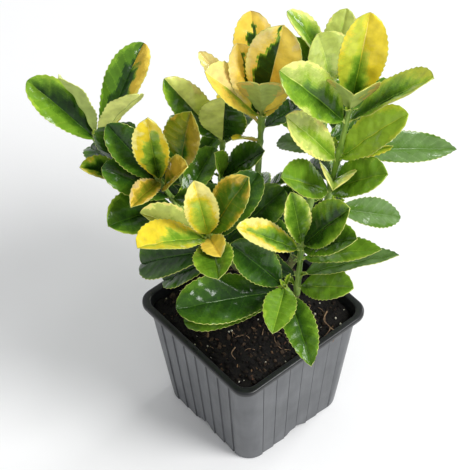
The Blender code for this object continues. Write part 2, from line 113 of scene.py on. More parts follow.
# Stems and leaves, in millimetres and degrees
MAIN_STEM_FOOT = (15, 3, 0.3)
MAIN_STEM_TOP = (12, 5, 30)
MAIN_STEM_RADII = (3.9, 3.1)
FLARE = 1.3
LIMB_SIDES = 8
LIMB_STEPS = 7
SHOOT_SIDES = 6
SHOOT_STEPS = 4
SHOOT_RADII = (1.75, 1.15)
SPRIG_RADII = (0.9, 0.72)
SPRIG_NODES = (0.55, 1.0)
STEM_STEPS = 46
TWIG_STEPS = 20
TIP_LEAFLETS = 4
AXIL_CHANCE = 0.55
LIMB_PULLS = (0.35, 0.3)
PARENT_SHARE = 0.25
FLARE_FADE = 7
SHARP = math.radians(60)
BARK_STEP = 0.9
SCAR_SPACING = 15
COLLAR = 0.9
COLLAR_LENGTH = 3.5
BROWN_TOP = 16
OLIVE_TOP = 42
STALK_SHARE = 0.08
STALK_HALF = 1.1
LEAF_THICKNESS = 0.7
STALK_THICKNESS = 1.5
LEAF_WIDTH = 0.44
LEAF_BEND = 16
LEAF_FOLD = 20
LEAF_ROWS = (0.0, 0.1, 0.35, 0.63, 0.88, 1.0)
LIGHT_HEADING = 270
LIGHT_LIFT = 58
STEM_PULL = 0.35
CLEARANCE = 0.5
OWN_REACH = 0.5
TIP_HALF = 1.0
LEAF_SWELL = 0.8
LEAF_POINT = 0.5

# The fine blade, in millimetres where it is a length
BLADE_ROWS = 84
BLADE_COLUMNS = (0.024, 0.08, 0.15, 0.23, 0.31, 0.39, 0.47, 0.55, 0.63, 0.71, 0.79, 0.87, 0.93, 0.972, 1.0)
LEAFLET_ROWS = 22
LEAFLET_COLUMNS = (0.08, 0.35, 0.7, 0.94, 1.0)
BLADE_THICKNESS = 0.34
STALK_WIDTH = 0.85
STALK_DEPTH = 1.35
TOOTH = 0.75
TOOTH_SPACING = 3.1
TOOTH_RISE = 0.8
TEETH_START = (0.16, 0.3)
TEETH_FADE = (0.97, 1.0)
BLADE_OPENS = (0.07, 0.2)
STALK_ENDS = (0.06, 0.14)
TIP_ROWS = (0.35, 0.1, 0.0)
INSIDE_TEETH = 0.4
VEINS = 9
VEIN_SLANT = 1.5
VEIN_RELIEF = 0.08
PUCKERS = 4
PUCKER = 0.15
GROOVE = 0.28
GROOVE_WIDTH = 0.7
RIB = 0.45
RIB_WIDTH = 0.55
RIB_FADE = 0.75
TWIST = 9
WAVE = 0.45
FULL_LENGTH = 50

# How the blade's colours run: a vein's half width and how much lighter it is on the dark rungs, then how
# far single faces and whole blotches stray, and where the underside turns from margin to middle
VEIN_HALF = 0.06
VEIN_LIGHT = 0.3
DARK_RUNGS = 3.5
GRAIN = 0.14
RAGGED = 0.27
UNDER_MARGIN = 0.3

# Each rim's strip on the map: its axis, then its places at the upper and the lower side
MAP_STRIPS = {
    "left": (0, 0.464, 0.486),
    "right": (0, 0.514, 0.536),
    "foot": (1, 0.022, 0.002),
    "tip": (1, 0.978, 0.998),
}

# Turns of heading and lift that a leaf tries in this order until it is clear, and then again when shorter
SHIFTS = [(0, 0), (0, 7), (0, -7), (9, 0), (-9, 0), (9, 9), (-9, 9), (0, 15), (0, -15), (18, 0), (-18, 0),
          (16, 14), (-16, 14), (0, 24), (0, -24), (28, 6), (-28, 6)]
TRIES = [(scale, shift) for scale in (1.0, 0.82) for shift in SHIFTS]

# Lamps: heading and lift in the plant's frame, distance, width and power
LAMPS = {
    "key": (331, 49, 2.2, 0.9, 37.0),
    "window": (44, 30, 2.2, 0.5, 9.0),
}
LAMP_AIM = 0.15
WORLD_LIGHT = 0.57
FLOOR_HALF = 3.0

# The camera, fitted to the pot's rim and base
CAMERA_PLACE = (0.513, -0.435, 0.920)
CAMERA_AZIMUTH = math.radians(50.45)
CAMERA_ELEVATION = math.radians(49.32)
CAMERA_ROLL = -0.0223
CAMERA_LENS = 152.8
SENSOR = 36.0

# Plain colours of the leaves, as they look on a screen
PALETTE = {
    "deep": (34, 64, 20),
    "dark": (54, 92, 22),
    "green": (82, 122, 28),
    "bright": (116, 158, 42),
    "lime": (156, 188, 58),
    "pale_lime": (202, 216, 112),
    "light_lime": (242, 250, 134),
    "yellow_green": (200, 208, 66),
    "yellow": (240, 216, 56),
    "cream": (250, 238, 140),
    "gold": (250, 218, 88),
    "buff": (250, 226, 142),
    "olive": (138, 146, 34),
    "amber": (204, 172, 56),
    "blush": (222, 196, 132),
    # grey and pale_grey are partly a painted sheen: their grey-green stands in for the greyish gloss some
    # leaves show
    "grey": (104, 136, 74),
    "pale_grey": (134, 160, 106),
    "rim": (206, 214, 112),
    "under_green": (116, 148, 76),
    "under_pale": (182, 198, 108),
    "under_olive": (146, 160, 64),
    # under_bright is a painted glow: an underside made brighter to stand in for light shining through the
    # thin leaf
    "under_bright": (246, 250, 148),
    "under_gold": (228, 200, 104),
}

# Ladders of those colours, each passing to the next in a few even steps
LADDERS = {
    "fresh": ("deep", "dark", "green", "bright", "lime", "yellow_green", "yellow", "cream"),
    "golden": ("deep", "dark", "green", "bright", "lime", "gold", "buff", "cream"),
    "warm": ("deep", "dark", "green", "olive", "amber", "gold", "blush", "cream"),
    # the grey ladder climbs to grey and pale_grey, whose grey-green is partly a painted sheen
    "grey": ("deep", "dark", "green", "grey", "pale_grey"),
    "milky": ("deep", "dark", "green", "bright", "lime", "pale_lime", "light_lime", "cream"),
}
LADDER_STEPS = 3


def look(stops, tip=0.5, base=0.5, rib=1.6, ladder="fresh", right=None, under="green", edge=None):
    """How a leaf is coloured. A stop is a distance in from the margin (0) to the midrib (1) and a rung of
    the ladder. tip and base say how far the margin's and the middle's colours spread there, rib how many
    rungs lighter the midrib is, right names the look of the other half, under and edge the underside."""
    pairs = [stop.split() for stop in stops.split(", ")]
    return dict(stops=[(float(place), rung) for place, rung in pairs], tip=tip, base=base, rib=rib,
                ladder=ladder, right=right, under="under_" + under, edge="under_" + (edge or under))


LOOKS = {
    "dark": look("0 green, 0.35 dark, 0.8 deep", tip=0.3),
    "green": look("0 bright, 0.3 green, 0.85 dark", tip=0.4),
    "bright": look("0 lime, 0.12 bright, 0.9 bright, 1.3 green"),
    "lime": look("0 yellow_green, 0.25 lime, 0.9 lime, 1.2 bright", tip=0.6, under="pale"),
    # grey: leaves whose grey-green is partly a painted sheen
    "grey": look("0 green, 0.15 grey, 0.7 grey, 1.1 green", tip=0.1, ladder="grey"),
    "margin": look("0 lime, 0.1 bright, 0.2 green, 0.55 dark, 0.9 deep", tip=0.4),
    "yellow": look("0 yellow, 0.4 yellow, 0.62 lime, 0.8 bright", tip=0.97, under="gold"),
    "yellow_low": look("0 yellow, 0.3 yellow_green, 0.5 lime, 0.8 bright", tip=0.9, right="yellow",
                       under="gold"),
    "yellow_dark": look("0 yellow, 0.34 yellow, 0.46 bright, 0.6 green, 0.72 deep", tip=0.75, rib=2.4,
                        under="pale"),
    "yellow_green": look("0 cream, 0.14 cream, 0.32 yellow, 0.5 yellow_green, 0.8 lime", tip=0.85,
                         under="gold"),
    "green_gold": look("0 gold, 0.08 amber, 0.2 olive, 0.4 green, 1.2 green", tip=0.65, ladder="warm",
                       under="pale"),
    "lime_gold": look("0 cream, 0.16 cream, 0.3 pale_lime, 0.5 pale_lime, 0.75 lime, 1.2 bright",
                      tip=0.45, ladder="milky", under="pale"),
    "gold": look("0 buff, 0.12 gold, 0.9 gold", tip=0.6, rib=0.6, ladder="golden", under="gold"),
    "gold_dark": look("0 cream, 0.14 buff, 0.36 gold, 0.44 green, 0.5 deep", tip=0.6, ladder="golden",
                      right="gold", under="gold"),
    "gold_deep": look("0 buff, 0.3 gold, 0.6 gold, 0.66 green, 0.72 deep", tip=0.5, rib=0.5,
                      ladder="golden", under="gold"),
    "gold_olive": look("0 buff, 0.3 gold, 0.9 gold", ladder="golden", under="pale", edge="gold"),
    "amber_half": look("0 gold, 0.1 amber, 0.6 amber, 0.85 olive, 1.1 dark", tip=0.8, ladder="warm"),
    "gold_green": look("0 amber, 0.12 olive, 0.7 olive, 1.1 green", ladder="warm", right="amber_half",
                       under="olive"),
    "amber": look("0 gold, 0.1 amber, 0.7 amber, 0.95 olive, 1.2 green", tip=0.9, ladder="warm",
                  under="olive"),
    "cream": look("0 blush, 0.16 blush, 0.34 amber, 0.6 olive", tip=0.5, rib=0.6, ladder="warm",
                  under="gold"),
    "pale_gold": look("0 cream, 0.3 buff, 0.9 buff", tip=0.8, rib=0.6, ladder="golden", under="gold"),
    "cream_gold": look("0 gold, 0.4 gold, 0.75 lime", tip=0.8, rib=0.6, ladder="golden",
                       right="pale_gold", under="gold"),
    "cream_green": look("0 cream, 0.2 yellow_green, 0.5 lime, 0.9 bright", tip=0.5, under="pale",
                        edge="gold"),
    "lime_dark": look("0 lime, 0.1 bright, 0.3 green, 0.6 dark", rib=0.8, right="light_half", under="pale"),
    "light_half": look("0 cream, 0.12 light_lime, 0.9 light_lime", ladder="milky"),
    "pale_half": look("0 cream, 0.1 pale_lime, 0.5 pale_lime, 0.9 lime", ladder="milky"),
    "mid_dark": look("0 lime, 0.06 bright, 0.5 bright, 0.8 green, 1.1 dark", rib=1.2, right="dark_lime",
                     under="pale"),
    "gold_tip": look("0 yellow_green, 0.25 lime, 0.7 green, 0.9 dark", tip=0.95, under="pale"),
    "cream_dark": look("0 cream, 0.12 cream, 0.34 yellow, 0.5 lime, 0.7 bright, 0.9 green", tip=0.8,
                       rib=1.6, under="olive", edge="gold"),
    "pale_dark_middle": look("0 cream, 0.12 pale_lime, 0.3 lime, 0.46 bright, 0.8 green", tip=0.4, rib=2,
                             ladder="milky", under="pale"),
    "bright_tip": look("0 cream, 0.16 yellow_green, 0.4 green, 0.6 deep", tip=0.8, under="olive",
                       edge="gold"),
    "cream_olive": look("0 gold, 0.1 olive, 0.9 olive", ladder="warm", right="pale_half", under="olive"),
    "dark_lime": look("0 lime, 0.2 bright, 0.45 green, 0.7 deep", under="pale"),
    "bright_dark": look("0 bright, 0.12 bright, 0.3 green, 0.75 green, 0.85 deep", tip=0.2, rib=0.4,
                        right="amber_edge", under="pale"),
    "amber_edge": look("0 gold, 0.2 amber, 0.4 amber, 0.6 dark, 0.7 deep", tip=0.7, ladder="warm"),
    # milky_green: its pale margin and lime are partly the leaf's own colour and partly a painted sheen
    "milky_green": look("0 cream, 0.1 pale_lime, 0.3 lime, 0.5 bright, 0.8 green", rib=2.2,
                        ladder="milky", under="pale"),
    # sheen: its other half keeps a real cream margin, and the pale colours further in, spreading towards the
    # tip, are a painted sheen
    "sheen": look("0 pale_lime, 0.1 lime, 0.3 bright, 0.7 green, 1.1 dark", rib=2.2, ladder="milky",
                  right="margin_and_painted_sheen", under="pale"),
    "margin_and_painted_sheen": look("0 cream, 0.12 pale_lime, 0.5 lime, 0.7 green, 1.1 dark", tip=0.85, rib=2.2,
                        ladder="milky"),
    "yellow_pale": look("0 cream, 0.1 yellow, 0.34 yellow, 0.46 lime, 0.8 bright, 1.1 dark", tip=0.8,
                        rib=1.6, under="pale"),
    "green_wide": look("0 lime, 0.1 bright, 0.5 green, 0.9 green", tip=0.3),
    "sunny": look("0 yellow, 0.3 yellow_green, 0.6 yellow_green, 0.8 lime, 1.1 green", tip=0.9, base=0.9,
                  rib=2.4, right="sunny_right", under="pale"),
    "sunny_right": look("0 yellow, 0.4 yellow, 0.6 yellow_green, 0.8 lime, 1.1 green", tip=0.9, base=0.9),
    "pale": look("0 cream, 0.1 pale_lime, 0.8 pale_lime, 1.1 lime", tip=0.4, rib=0.6, ladder="milky",
                 under="pale"),
    "pale_dark": look("0 light_lime, 0.9 light_lime", rib=0.6, ladder="milky", right="dark", under="pale"),
    # pale_bright: a pale upper side over an underside with the painted glow of under_bright
    "pale_bright": look("0 cream, 0.1 pale_lime, 0.8 pale_lime", tip=0.4, rib=0.6, ladder="milky",
                        under="bright"),
    "fresh": look("0 yellow_green, 0.4 lime, 0.9 bright", tip=0.4, under="pale"),
}


def leaf(look, heading, lift, length, width=LEAF_WIDTH, fold=LEAF_FOLD, roll=0, bend=LEAF_BEND,
         pull=STEM_PULL, point=LEAF_POINT):
    """A leaf from its node: lengths in millimetres, angles in degrees, width as a share of the length.
    pull turns its upper side to the stem, point sharpens its tip."""
    return dict(look=look, heading=heading, lift=lift, length=length, width=width, fold=fold, roll=roll,
                bend=bend, pull=pull, point=point)


def shoot(foot, tip, *pairs, sprigs=()):
    """A stem from foot to tip. A pair is its share of the stem, then its two leaves."""
    return dict(foot=foot, tip=tip, pairs=pairs, sprigs=sprigs)


SHOOTS = {
    "front_left": shoot(
        (-15, -15, 60), (-22, -28, 95),
        (0.15, leaf("dark", 165, -41, 42, 0.46), leaf("dark", 40, -15, 30)),
        (0.45, leaf("dark", 160, -32, 50, 0.56), leaf("margin", 30, 29, 46, 0.5)),
        (0.70, leaf("cream_olive", 180, 35, 43, 0.46, fold=34, roll=14), leaf("dark", 46, 36, 42, 0.54)),
        (0.88, leaf("yellow_low", 219, 32, 52, 0.46, roll=24), leaf("green_wide", 276, 20, 40, 0.56)),
        (0.95, leaf("gold", 285, 24, 24, 0.62, fold=30, pull=3)),
        (1.00, leaf("yellow_green", 233, 79, 50, 0.38), leaf("green_gold", 342, 67, 54, 0.4)),
    ),
    "front_right": shoot(
        (23, -12, 28), (25, -18, 74),
        (0.15, leaf("dark", 150, 20, 34), leaf("bright", 322, 42, 42, 0.46)),
        (0.38, leaf("dark", 170, 20, 32), leaf("grey", 345, 31, 60, 0.28, roll=-20, point=0.8)),
        (0.72, leaf("bright", 332, 35, 54, 0.3, roll=-15, point=0.75), leaf("dark", 130, 15, 30)),
        (0.90, leaf("green", 322, 44, 46, 0.44), leaf("cream_dark", 203, 45, 50, 0.34)),
        (1.00, leaf("pale_dark_middle", 198, 82, 44, 0.36), leaf("dark_lime", 331, 59, 50, 0.46)),
    ),
    "low_front": shoot(
        (19, -25, 43), (16, -30, 56),
        (0.20, leaf("green", 192, -8, 56, 0.36)),
        (0.60, leaf("dark", 198, 9, 60, 0.47), leaf("green", 281, 6, 54, 0.34, point=0.7)),
        (1.00, leaf("bright", 259, 16, 41, 0.46, point=0.65), leaf("dark", 182, 60, 45, 0.5)),
    ),
    "left": shoot(
        (-34, -2, 81), (-46, -5, 111),
        (0.20, leaf("green", 60, 10, 38)),
        (0.30, leaf("margin", 218, 20, 45, 0.62)),
        (0.50, leaf("dark", 187, 40, 44, 0.48), leaf("green", 320, 35, 26)),
        (0.80, leaf("amber", 302, 64, 45, 0.42)),
        (0.90, leaf("dark", 168, 56, 46)),
        (1.00, leaf("yellow_pale", 234, 83, 51, 0.39), leaf("cream", 247, 25, 36, 0.44, fold=38)),
    ),
    "middle": shoot(
        (3, 17, 78), (6, 20, 130),
        (0.66, leaf("yellow", 222, 39, 24, 0.35, roll=50)),
        (0.82, leaf("dark", 57, -22, 38, 0.38)),
        (0.86, leaf("pale_gold", 150, 46, 50, 0.22)),
        (0.92, leaf("gold_deep", 142, 66, 48, 0.42), leaf("gold", 24, 66, 48, 0.36)),
        (0.96, leaf("cream_gold", 186, 53, 46, 0.52, fold=20, roll=20)),
        (0.98, leaf("gold_olive", 265, 75, 42, 0.6, fold=6, bend=26, pull=4)),
        (1.00, leaf("gold_dark", 5, 80, 62, 0.46, fold=12), leaf("gold_deep", 100, 62, 55, 0.42)),
    ),
    "right": shoot(
        (37, 3, 73), (49, 8, 148),
        (0.22, leaf("bright", 212, 45, 42, 0.56), leaf("bright", 326, 45, 46, 0.54)),
        (0.30, leaf("lime_gold", 268, 42, 30, 0.9, fold=40, bend=30, pull=2), leaf("dark", 100, -25, 34)),
        (0.50, leaf("lime_gold", 198, 57, 50, 0.4), leaf("lime", 346, 51, 54, 0.42)),
        (0.56, leaf("cream_green", 337, 32, 33, 0.24, fold=45, roll=50)),
        (0.60, leaf("grey", 142, -24, 42, 0.3), leaf("grey", 9, -10, 62, 0.31, point=0.85)),
        (0.84, leaf("sheen", 192, 53, 56, 0.48), leaf("gold_tip", 349, 43, 56, 0.44, roll=-34)),
        (0.94, leaf("cream_green", 272, 60, 34, 0.9, fold=30, bend=40, pull=4)),
        (1.00, leaf("sunny", 38, 80, 58, 0.44), leaf("green", 85, -15, 38)),
    ),
    "far_left": shoot(
        (-62, 8, 96), (-77, 15, 122),
        (0.10, leaf("bright_tip", 203, 54, 30, 0.54, fold=32), leaf("dark", 90, 10, 34)),
        (0.45, leaf("dark", 262, 78, 34, 0.48), leaf("dark", 20, 0, 28)),
        (0.25, leaf("dark", 120, -20, 36)),
        (0.86, leaf("mid_dark", 162, 44, 50, 0.46, roll=10),
         leaf("bright_dark", 57, 40, 55, 0.4, roll=-10)),
        (1.00, leaf("pale", 180, 70, 46, 0.36, roll=105), leaf("pale_bright", 350, 56, 42, 0.44, roll=-92)),
    ),
    "back_left": shoot(
        (-16, 16, 68), (-14, 28, 104),
        (0.20, leaf("dark", 70, -20, 38), leaf("dark", 140, -10, 38)),
        (0.42, leaf("bright", 225, 66, 30), leaf("dark", 332, 68, 41, 0.46)),
        (0.90, leaf("dark", 70, -11, 42), leaf("yellow_dark", 75, 20, 42)),
        (1.00, leaf("lime_dark", 180, 59, 54, 0.38, fold=28, roll=-24),
         leaf("pale_dark", 284, 78, 42, 0.62, fold=14)),
        sprigs=((0.35, 150), (0.75, 70)),
    ),
    "left_back": shoot(
        (-32, 10, 70), (-36, 16, 96),
        (0.40, leaf("dark", 150, -20, 36), leaf("dark", 70, -5, 32)),
        (0.75, leaf("margin", 110, -10, 38)),
        (1.00, leaf("gold_green", 8, 72, 43, 0.54), leaf("green", 190, 80, 38)),
        sprigs=((0.30, 75),),
    ),
    "right_back": shoot(
        (35, 34, 74), (42, 48, 124),
        (0.30, leaf("green", 30, 0, 42), leaf("dark", 100, -20, 38)),
        (0.70, leaf("margin", 95, 10, 44), leaf("green", 10, 10, 40)),
        (0.88, leaf("milky_green", 141, 57, 50, 0.36, bend=40, roll=36), leaf("green", 160, 50, 40)),
        (1.00, leaf("pale", 215, 77, 42, 0.68), leaf("pale", 40, 76, 46, 0.4)),
        sprigs=((0.15, 60), (0.50, 80)),
    ),
    "low_back": shoot(
        (35, 22, 43), (43, 28, 50),
        (0.30, leaf("dark", 110, 0, 42), leaf("dark", 300, 10, 26)),
        (1.00, leaf("grey", 20, -31, 48, 0.38, roll=12, point=0.75), leaf("margin", 80, -15, 44)),
        sprigs=((0.60, 50),),
    ),
    "centre_back": shoot(
        (8, 22, 32), (8, 30, 62),
        (0.30, leaf("dark", 120, -30, 42), leaf("dark", 40, -30, 40)),
        (0.65, leaf("dark", 205, 40, 34), leaf("dark", 311, 51, 36)),
        (0.85, leaf("dark", 20, -10, 36), leaf("margin", 100, -30, 40)),
        (1.00, leaf("dark", 242, 50, 30), leaf("green", 291, 54, 32)),
    ),
    "low_left": shoot(
        (-14, 16, 28), (-30, 34, 44),
        (0.30, leaf("dark", 150, 0, 42), leaf("dark", 60, 10, 38)),
        (0.70, leaf("green", 190, 10, 40), leaf("margin", 100, 5, 42)),
        (1.00, leaf("yellow_dark", 140, 25, 42), leaf("margin", 80, 20, 40)),
    ),
}


# Each limb: what it grows from and at what share of that, then its radii at both ends.
LIMBS = {
    "middle": ("main_stem", 1.0, 2.3, 1.8),
    "far_left": ("main_stem", 0.74, 2.3, 1.8),
    "right": ("main_stem", 0.55, 2.4, 1.8),
    "front_right": ("main_stem", 0.30, 2.1, 1.8),
    "centre_back": ("main_stem", 0.42, 1.9, 1.8),
    "low_left": ("main_stem", 0.16, 1.9, 1.8),
    "left": ("far_left", 0.50, 1.9, 1.8),
    "left_back": ("far_left", 0.36, 1.9, 1.8),
    "front_left": ("far_left", 0.20, 1.9, 1.8),
    "back_left": ("middle", 0.30, 1.9, 1.8),
    "right_back": ("right", 0.34, 1.9, 1.8),
    "low_back": ("right", 0.18, 1.9, 1.8),
    "low_front": ("front_right", 0.45, 1.9, 1.8),
}


# Materials


def screen_colour(red, green, blue):
    """A colour as seen on a screen, from 0 to 255 a channel, as linear light."""
    linear = []
    for value in (red, green, blue):
        share = value / 255
        linear.append(share / 12.92 if share <= 0.04045 else ((share + 0.055) / 1.055) ** 2.4)
    return linear


def start_material(name, roughness, specular=0.5):
    material = bpy.data.materials.new(name)
    material.use_nodes = True
    sockets = material.node_tree.nodes["Principled BSDF"].inputs
    sockets["Roughness"].default_value = roughness
    sockets["Specular IOR Level"].default_value = specular
    return material


def add_noise(material, scale, detail, rise=1.0):
    """A noise over the object's own coordinates, drawn out upwards where rise is below 1."""
    nodes = material.node_tree.nodes
    links = material.node_tree.links
    place = nodes.new("ShaderNodeTexCoord")
    squeeze = nodes.new("ShaderNodeMapping")
    squeeze.inputs["Scale"].default_value = (1, 1, rise)
    pattern = nodes.new("ShaderNodeTexNoise")
    pattern.inputs["Scale"].default_value = scale
    pattern.inputs["Detail"].default_value = detail
    links.new(place.outputs["Object"], squeeze.inputs["Vector"])
    links.new(squeeze.outputs["Vector"], pattern.inputs["Vector"])
    return pattern.outputs["Fac"]


def add_ramp(material, socket, pattern, *stops):
    """Feeds a socket with colours or greys along a pattern. A stop is its place, then its colour."""
    nodes = material.node_tree.nodes
    ramp = nodes.new("ShaderNodeValToRGB")
    for element, (place, colour) in zip(ramp.color_ramp.elements, stops):
        element.position = place
        element.color = (*colour, 1.0)
    material.node_tree.links.new(pattern, ramp.inputs["Fac"])
    material.node_tree.links.new(ramp.outputs["Color"], nodes["Principled BSDF"].inputs[socket])


def add_bump(material, pattern, depth, strength):
    nodes = material.node_tree.nodes
    bump = nodes.new("ShaderNodeBump")
    bump.inputs["Distance"].default_value = depth * MM
    bump.inputs["Strength"].default_value = strength
    material.node_tree.links.new(pattern, bump.inputs["Height"])
    material.node_tree.links.new(bump.outputs["Normal"], nodes["Principled BSDF"].inputs["Normal"])


def grey(value):
    return (value, value, value)


def leaf_material(name, colour):
    """One plain leaf colour with a faint mottle, a waxy gloss and a fine grain."""
    underside = name.startswith("under")
    material = start_material("leaf_" + name, 0.5 if underside else 0.3, 0.28)
    shades = [tuple(channel * factor for channel in colour) for factor in (0.84, 1.12)]
    add_ramp(material, "Base Color", add_noise(material, 260, 4), (0.3, shades[0]), (0.7, shades[1]))
    smooth, rough = (0.46, 0.6) if underside else (0.12, 0.2)
    add_ramp(material, "Roughness", add_noise(material, 90, 2), (0.35, grey(smooth)), (0.65, grey(rough)))
    add_bump(material, add_noise(material, 340, 4), 0.4, 0.55)
    return material


def stem_material(name, dark, light, roughness):
    """Bark or green rind, streaked along the stem, with a fine grain."""
    material = start_material(name, roughness)
    streak = add_noise(material, 420, 5, 0.25)
    add_ramp(material, "Base Color", streak, (0.32, screen_colour(*dark)), (0.68, screen_colour(*light)))
    add_bump(material, add_noise(material, 1500, 4, 0.4), 0.4, 0.5)
    return material


def plastic_material(name, dark, light, smooth, rough):
    """Charcoal moulded plastic with a satin sheen, faint scuffs and a trace of dust."""
    material = start_material(name, rough)
    cloud = add_noise(material, 70, 5)
    add_ramp(material, "Base Color", cloud, (0.3, screen_colour(*dark)), (0.7, screen_colour(*light)))
    scuff = add_noise(material, 240, 6, 0.12)
    add_ramp(material, "Roughness", scuff, (0.3, grey(smooth)), (0.7, grey(rough)))
    add_bump(material, add_noise(material, 1800, 3), 0.12, 0.3)
    return material


def earth_material(name, dark, light, roughness=0.9):
    material = start_material(name, roughness, 0.3)
    grain = add_noise(material, 900, 6)
    add_ramp(material, "Base Color", grain, (0.35, screen_colour(*dark)), (0.68, screen_colour(*light)))
    add_bump(material, add_noise(material, 1800, 5), 0.6, 0.8)
    return material


# Meshes


def add_mesh(name, points, faces, materials, looks=None, smooth=True, sharp=None):
    """An object from points and faces. looks gives each face's place in the list of materials."""
    mesh = bpy.data.meshes.new(name)
    mesh.from_pydata(np.asarray(points).tolist(), [], faces)
    for material in materials:
        mesh.materials.append(material)
    if looks is not None:
        mesh.polygons.foreach_set("material_index", np.asarray(looks, dtype=np.int32))
    if smooth:
        mesh.shade_smooth()
    if sharp is not None:
        mesh.set_sharp_from_angle(angle=sharp)
    mesh.update()
    thing = bpy.data.objects.new(name, mesh)
    bpy.context.scene.collection.objects.link(thing)
    return thing


def finish_piece(thing, slot, *nodes):
    """A piece stands still with the pot and stands for its nodes. The slot is not used."""
    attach(thing, "root")
    if nodes:
        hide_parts(*nodes)
    return thing


class Heap:
    """Points, faces and each face's material of many small things that go into one mesh."""

    def __init__(self):
        self.points = []
        self.faces = []
        self.looks = []
        self.count = 0

    def add(self, points, faces, look):
        self.points.append(np.asarray(points, dtype=float))
        self.faces += [[corner + self.count for corner in face] for face in faces]
        self.looks += [look] * len(faces) if isinstance(look, int) else list(look)
        self.count += len(points)

    def mesh(self, name, materials, **shading):
        return add_mesh(name, np.concatenate(self.points), self.faces, materials, self.looks, **shading)


def loft(rings):
    """Points and faces of a closed tube through rings of equal count, with flat ends."""
    count = len(rings[0])
    points = [point for ring in rings for point in ring]
    faces = [list(range(count))[::-1]]
    for low in range(0, len(points) - count, count):
        for k in range(count):
            after = (k + 1) % count
            faces.append([low + k, low + after, low + count + after, low + count + k])
    faces.append(list(range(len(points) - count, len(points))))
    return points, faces


# The pot


def side_ways(quarter):
    """The ways straight out of one of the pot's four sides and along it."""
    turn = quarter * math.pi / 2
    return Vector((math.cos(turn), math.sin(turn), 0)), Vector((-math.sin(turn), math.cos(turn), 0))


def square_ring(half, corner, height, step=0.0, depth=0.0):
    """A rounded square, seen from above and running left. Its side has lapped panels and thin grooves."""
    flat = half - corner
    side = [(-flat, half)]
    for groove in range(GROOVES):
        place = (groove - (GROOVES - 1) / 2) * GROOVE_SPACING * half
        side.append((place - GROOVE_HALF, half))
        side.append((place - GROOVE_HALF * 0.7, half - depth))
        side.append((place + GROOVE_HALF * 0.6, half - step - depth))
        side.append((place + GROOVE_HALF, half - step))
    side.append((flat, half))
    points = []
    for quarter in range(4):
        out_way, along_way = side_ways(quarter)
        points += [out_way * out + along_way * place + Vector((0, 0, height)) for place, out in side]
        centre = (out_way + along_way) * flat
        for k in range(1, POT_CORNER_STEPS):
            angle = quarter * math.pi / 2 + k / POT_CORNER_STEPS * math.pi / 2
            arm = Vector((math.cos(angle), math.sin(angle), 0)) * corner
            points.append(centre + arm + Vector((0, 0, height)))
    return points


def in_groove(k):
    """Whether the part of a ring after its point k lies in a groove."""
    place = k % (2 + 4 * GROOVES + POT_CORNER_STEPS - 1)
    return 0 < place <= 4 * GROOVES and place % 4 != 0


def wall_half(height):
    """Half the width of the wall's outer face at a height above the floor it stands on."""
    return BASE_HALF + (WALL_TOP_HALF - BASE_HALF) * (height / LEDGE)


def wall_corner(height):
    return BASE_CORNER + (RIM_CORNER - BASE_CORNER) * (height / POT_HEIGHT)


def rolled_edge(half, height, radius, start, end, steps):
    """Half widths and heights round a part turn of an edge, whose centre is (half, height)."""
    made = []
    for k in range(steps + 1):
        angle = math.radians(start + (end - start) * k / steps)
        made.append((half + radius * math.cos(angle), height + radius * math.sin(angle)))
    return made


def pot_rings():
    """The shell as one ring after another, and how many rows of faces its grooved wall takes."""
    wall = [(half, BASE_CORNER, height) for half, height
            in rolled_edge(BASE_HALF - FOOT_ROLL, FOOT_ROLL, FOOT_ROLL, -60, 0, 3)]
    for k in range(1, WALL_STEPS + 1):
        height = FOOT_ROLL + (LEDGE - FOOT_ROLL) * k / WALL_STEPS
        wall.append((wall_half(height), wall_corner(height), height))
    rings = [square_ring(BASE_HALF - FOOT_ROLL, BASE_CORNER, 0.0, PANEL_STEP)]
    rings += [square_ring(*row, PANEL_STEP, GROOVE_DEPTH) for row in wall]
    ledge_corner = wall_corner(RIM_UNDER)
    plain = [(LEDGE_HALF - 0.0003, ledge_corner, LEDGE + 0.0005), (LEDGE_HALF, ledge_corner, LEDGE + 0.0011),
             (LEDGE_HALF, ledge_corner, RIM_UNDER - 0.0003), (LEDGE_HALF + 0.0002, ledge_corner, RIM_UNDER)]
    top = POT_HEIGHT - RIM_ROLL
    inner = RIM_ROLL * 0.7
    lip = rolled_edge(RIM_HALF - RIM_FOOT_ROLL, RIM_UNDER + RIM_FOOT_ROLL, RIM_FOOT_ROLL, -90, 0, 3)
    lip += rolled_edge(RIM_HALF - RIM_ROLL, top, RIM_ROLL, 0, 90, 5)
    plain += [(half, RIM_CORNER, height) for half, height in lip]
    plain += [(half, RIM_CORNER - 0.0015, height) for half, height
              in rolled_edge(RIM_INNER_HALF + inner, POT_HEIGHT - inner, inner, 90, 180, 4)]
    plain.append((WALL_TOP_HALF - WALL, wall_corner(LEDGE) - WALL, LEDGE))
    plain.append((wall_half(FLOOR) - WALL, BASE_CORNER - WALL, FLOOR))
    return rings + [square_ring(*row) for row in plain], len(wall)


def make_pot():
    """The shell with the colours of its wall, its rim and its grooves. The rim's colour is darker than the
    wall's and also goes to the ledge, the inside and the bottom; it is painted shade for the dark reflection
    on the rim's top. The grooves' slightly darker colour is painted shade in their hollows.
    """
    materials = [plastic_material("pot_wall", (84, 86, 89), (100, 102, 105), 0.34, 0.5),
                 plastic_material("pot_rim_painted_shade", (22, 23, 25), (32, 34, 36), 0.26, 0.4),
                 plastic_material("pot_groove_painted_shade", (80, 82, 85), (96, 98, 101), 0.5, 0.6)]
    rings, wall_rows = pot_rings()
    looks = [1]
    for row in range(len(rings) - 1):
        # rows above the grooved wall take the rim's darker colour, which is painted shade; groove faces take
        # the grooves' slightly darker colour, which is painted shade in the hollows
        looks += [1 if row >= wall_rows else 2 if in_groove(k) else 0 for k in range(len(rings[0]))]
    looks.append(1)
    pot = add_mesh("pot_shell", *loft(rings), materials, looks)
    for quarter in range(4):
        cut_notch(pot, quarter)
    pot.data.shade_smooth()
    pot.data.set_sharp_from_angle(angle=POT_SHARP)
    finish_piece(pot, "pot", "pot")


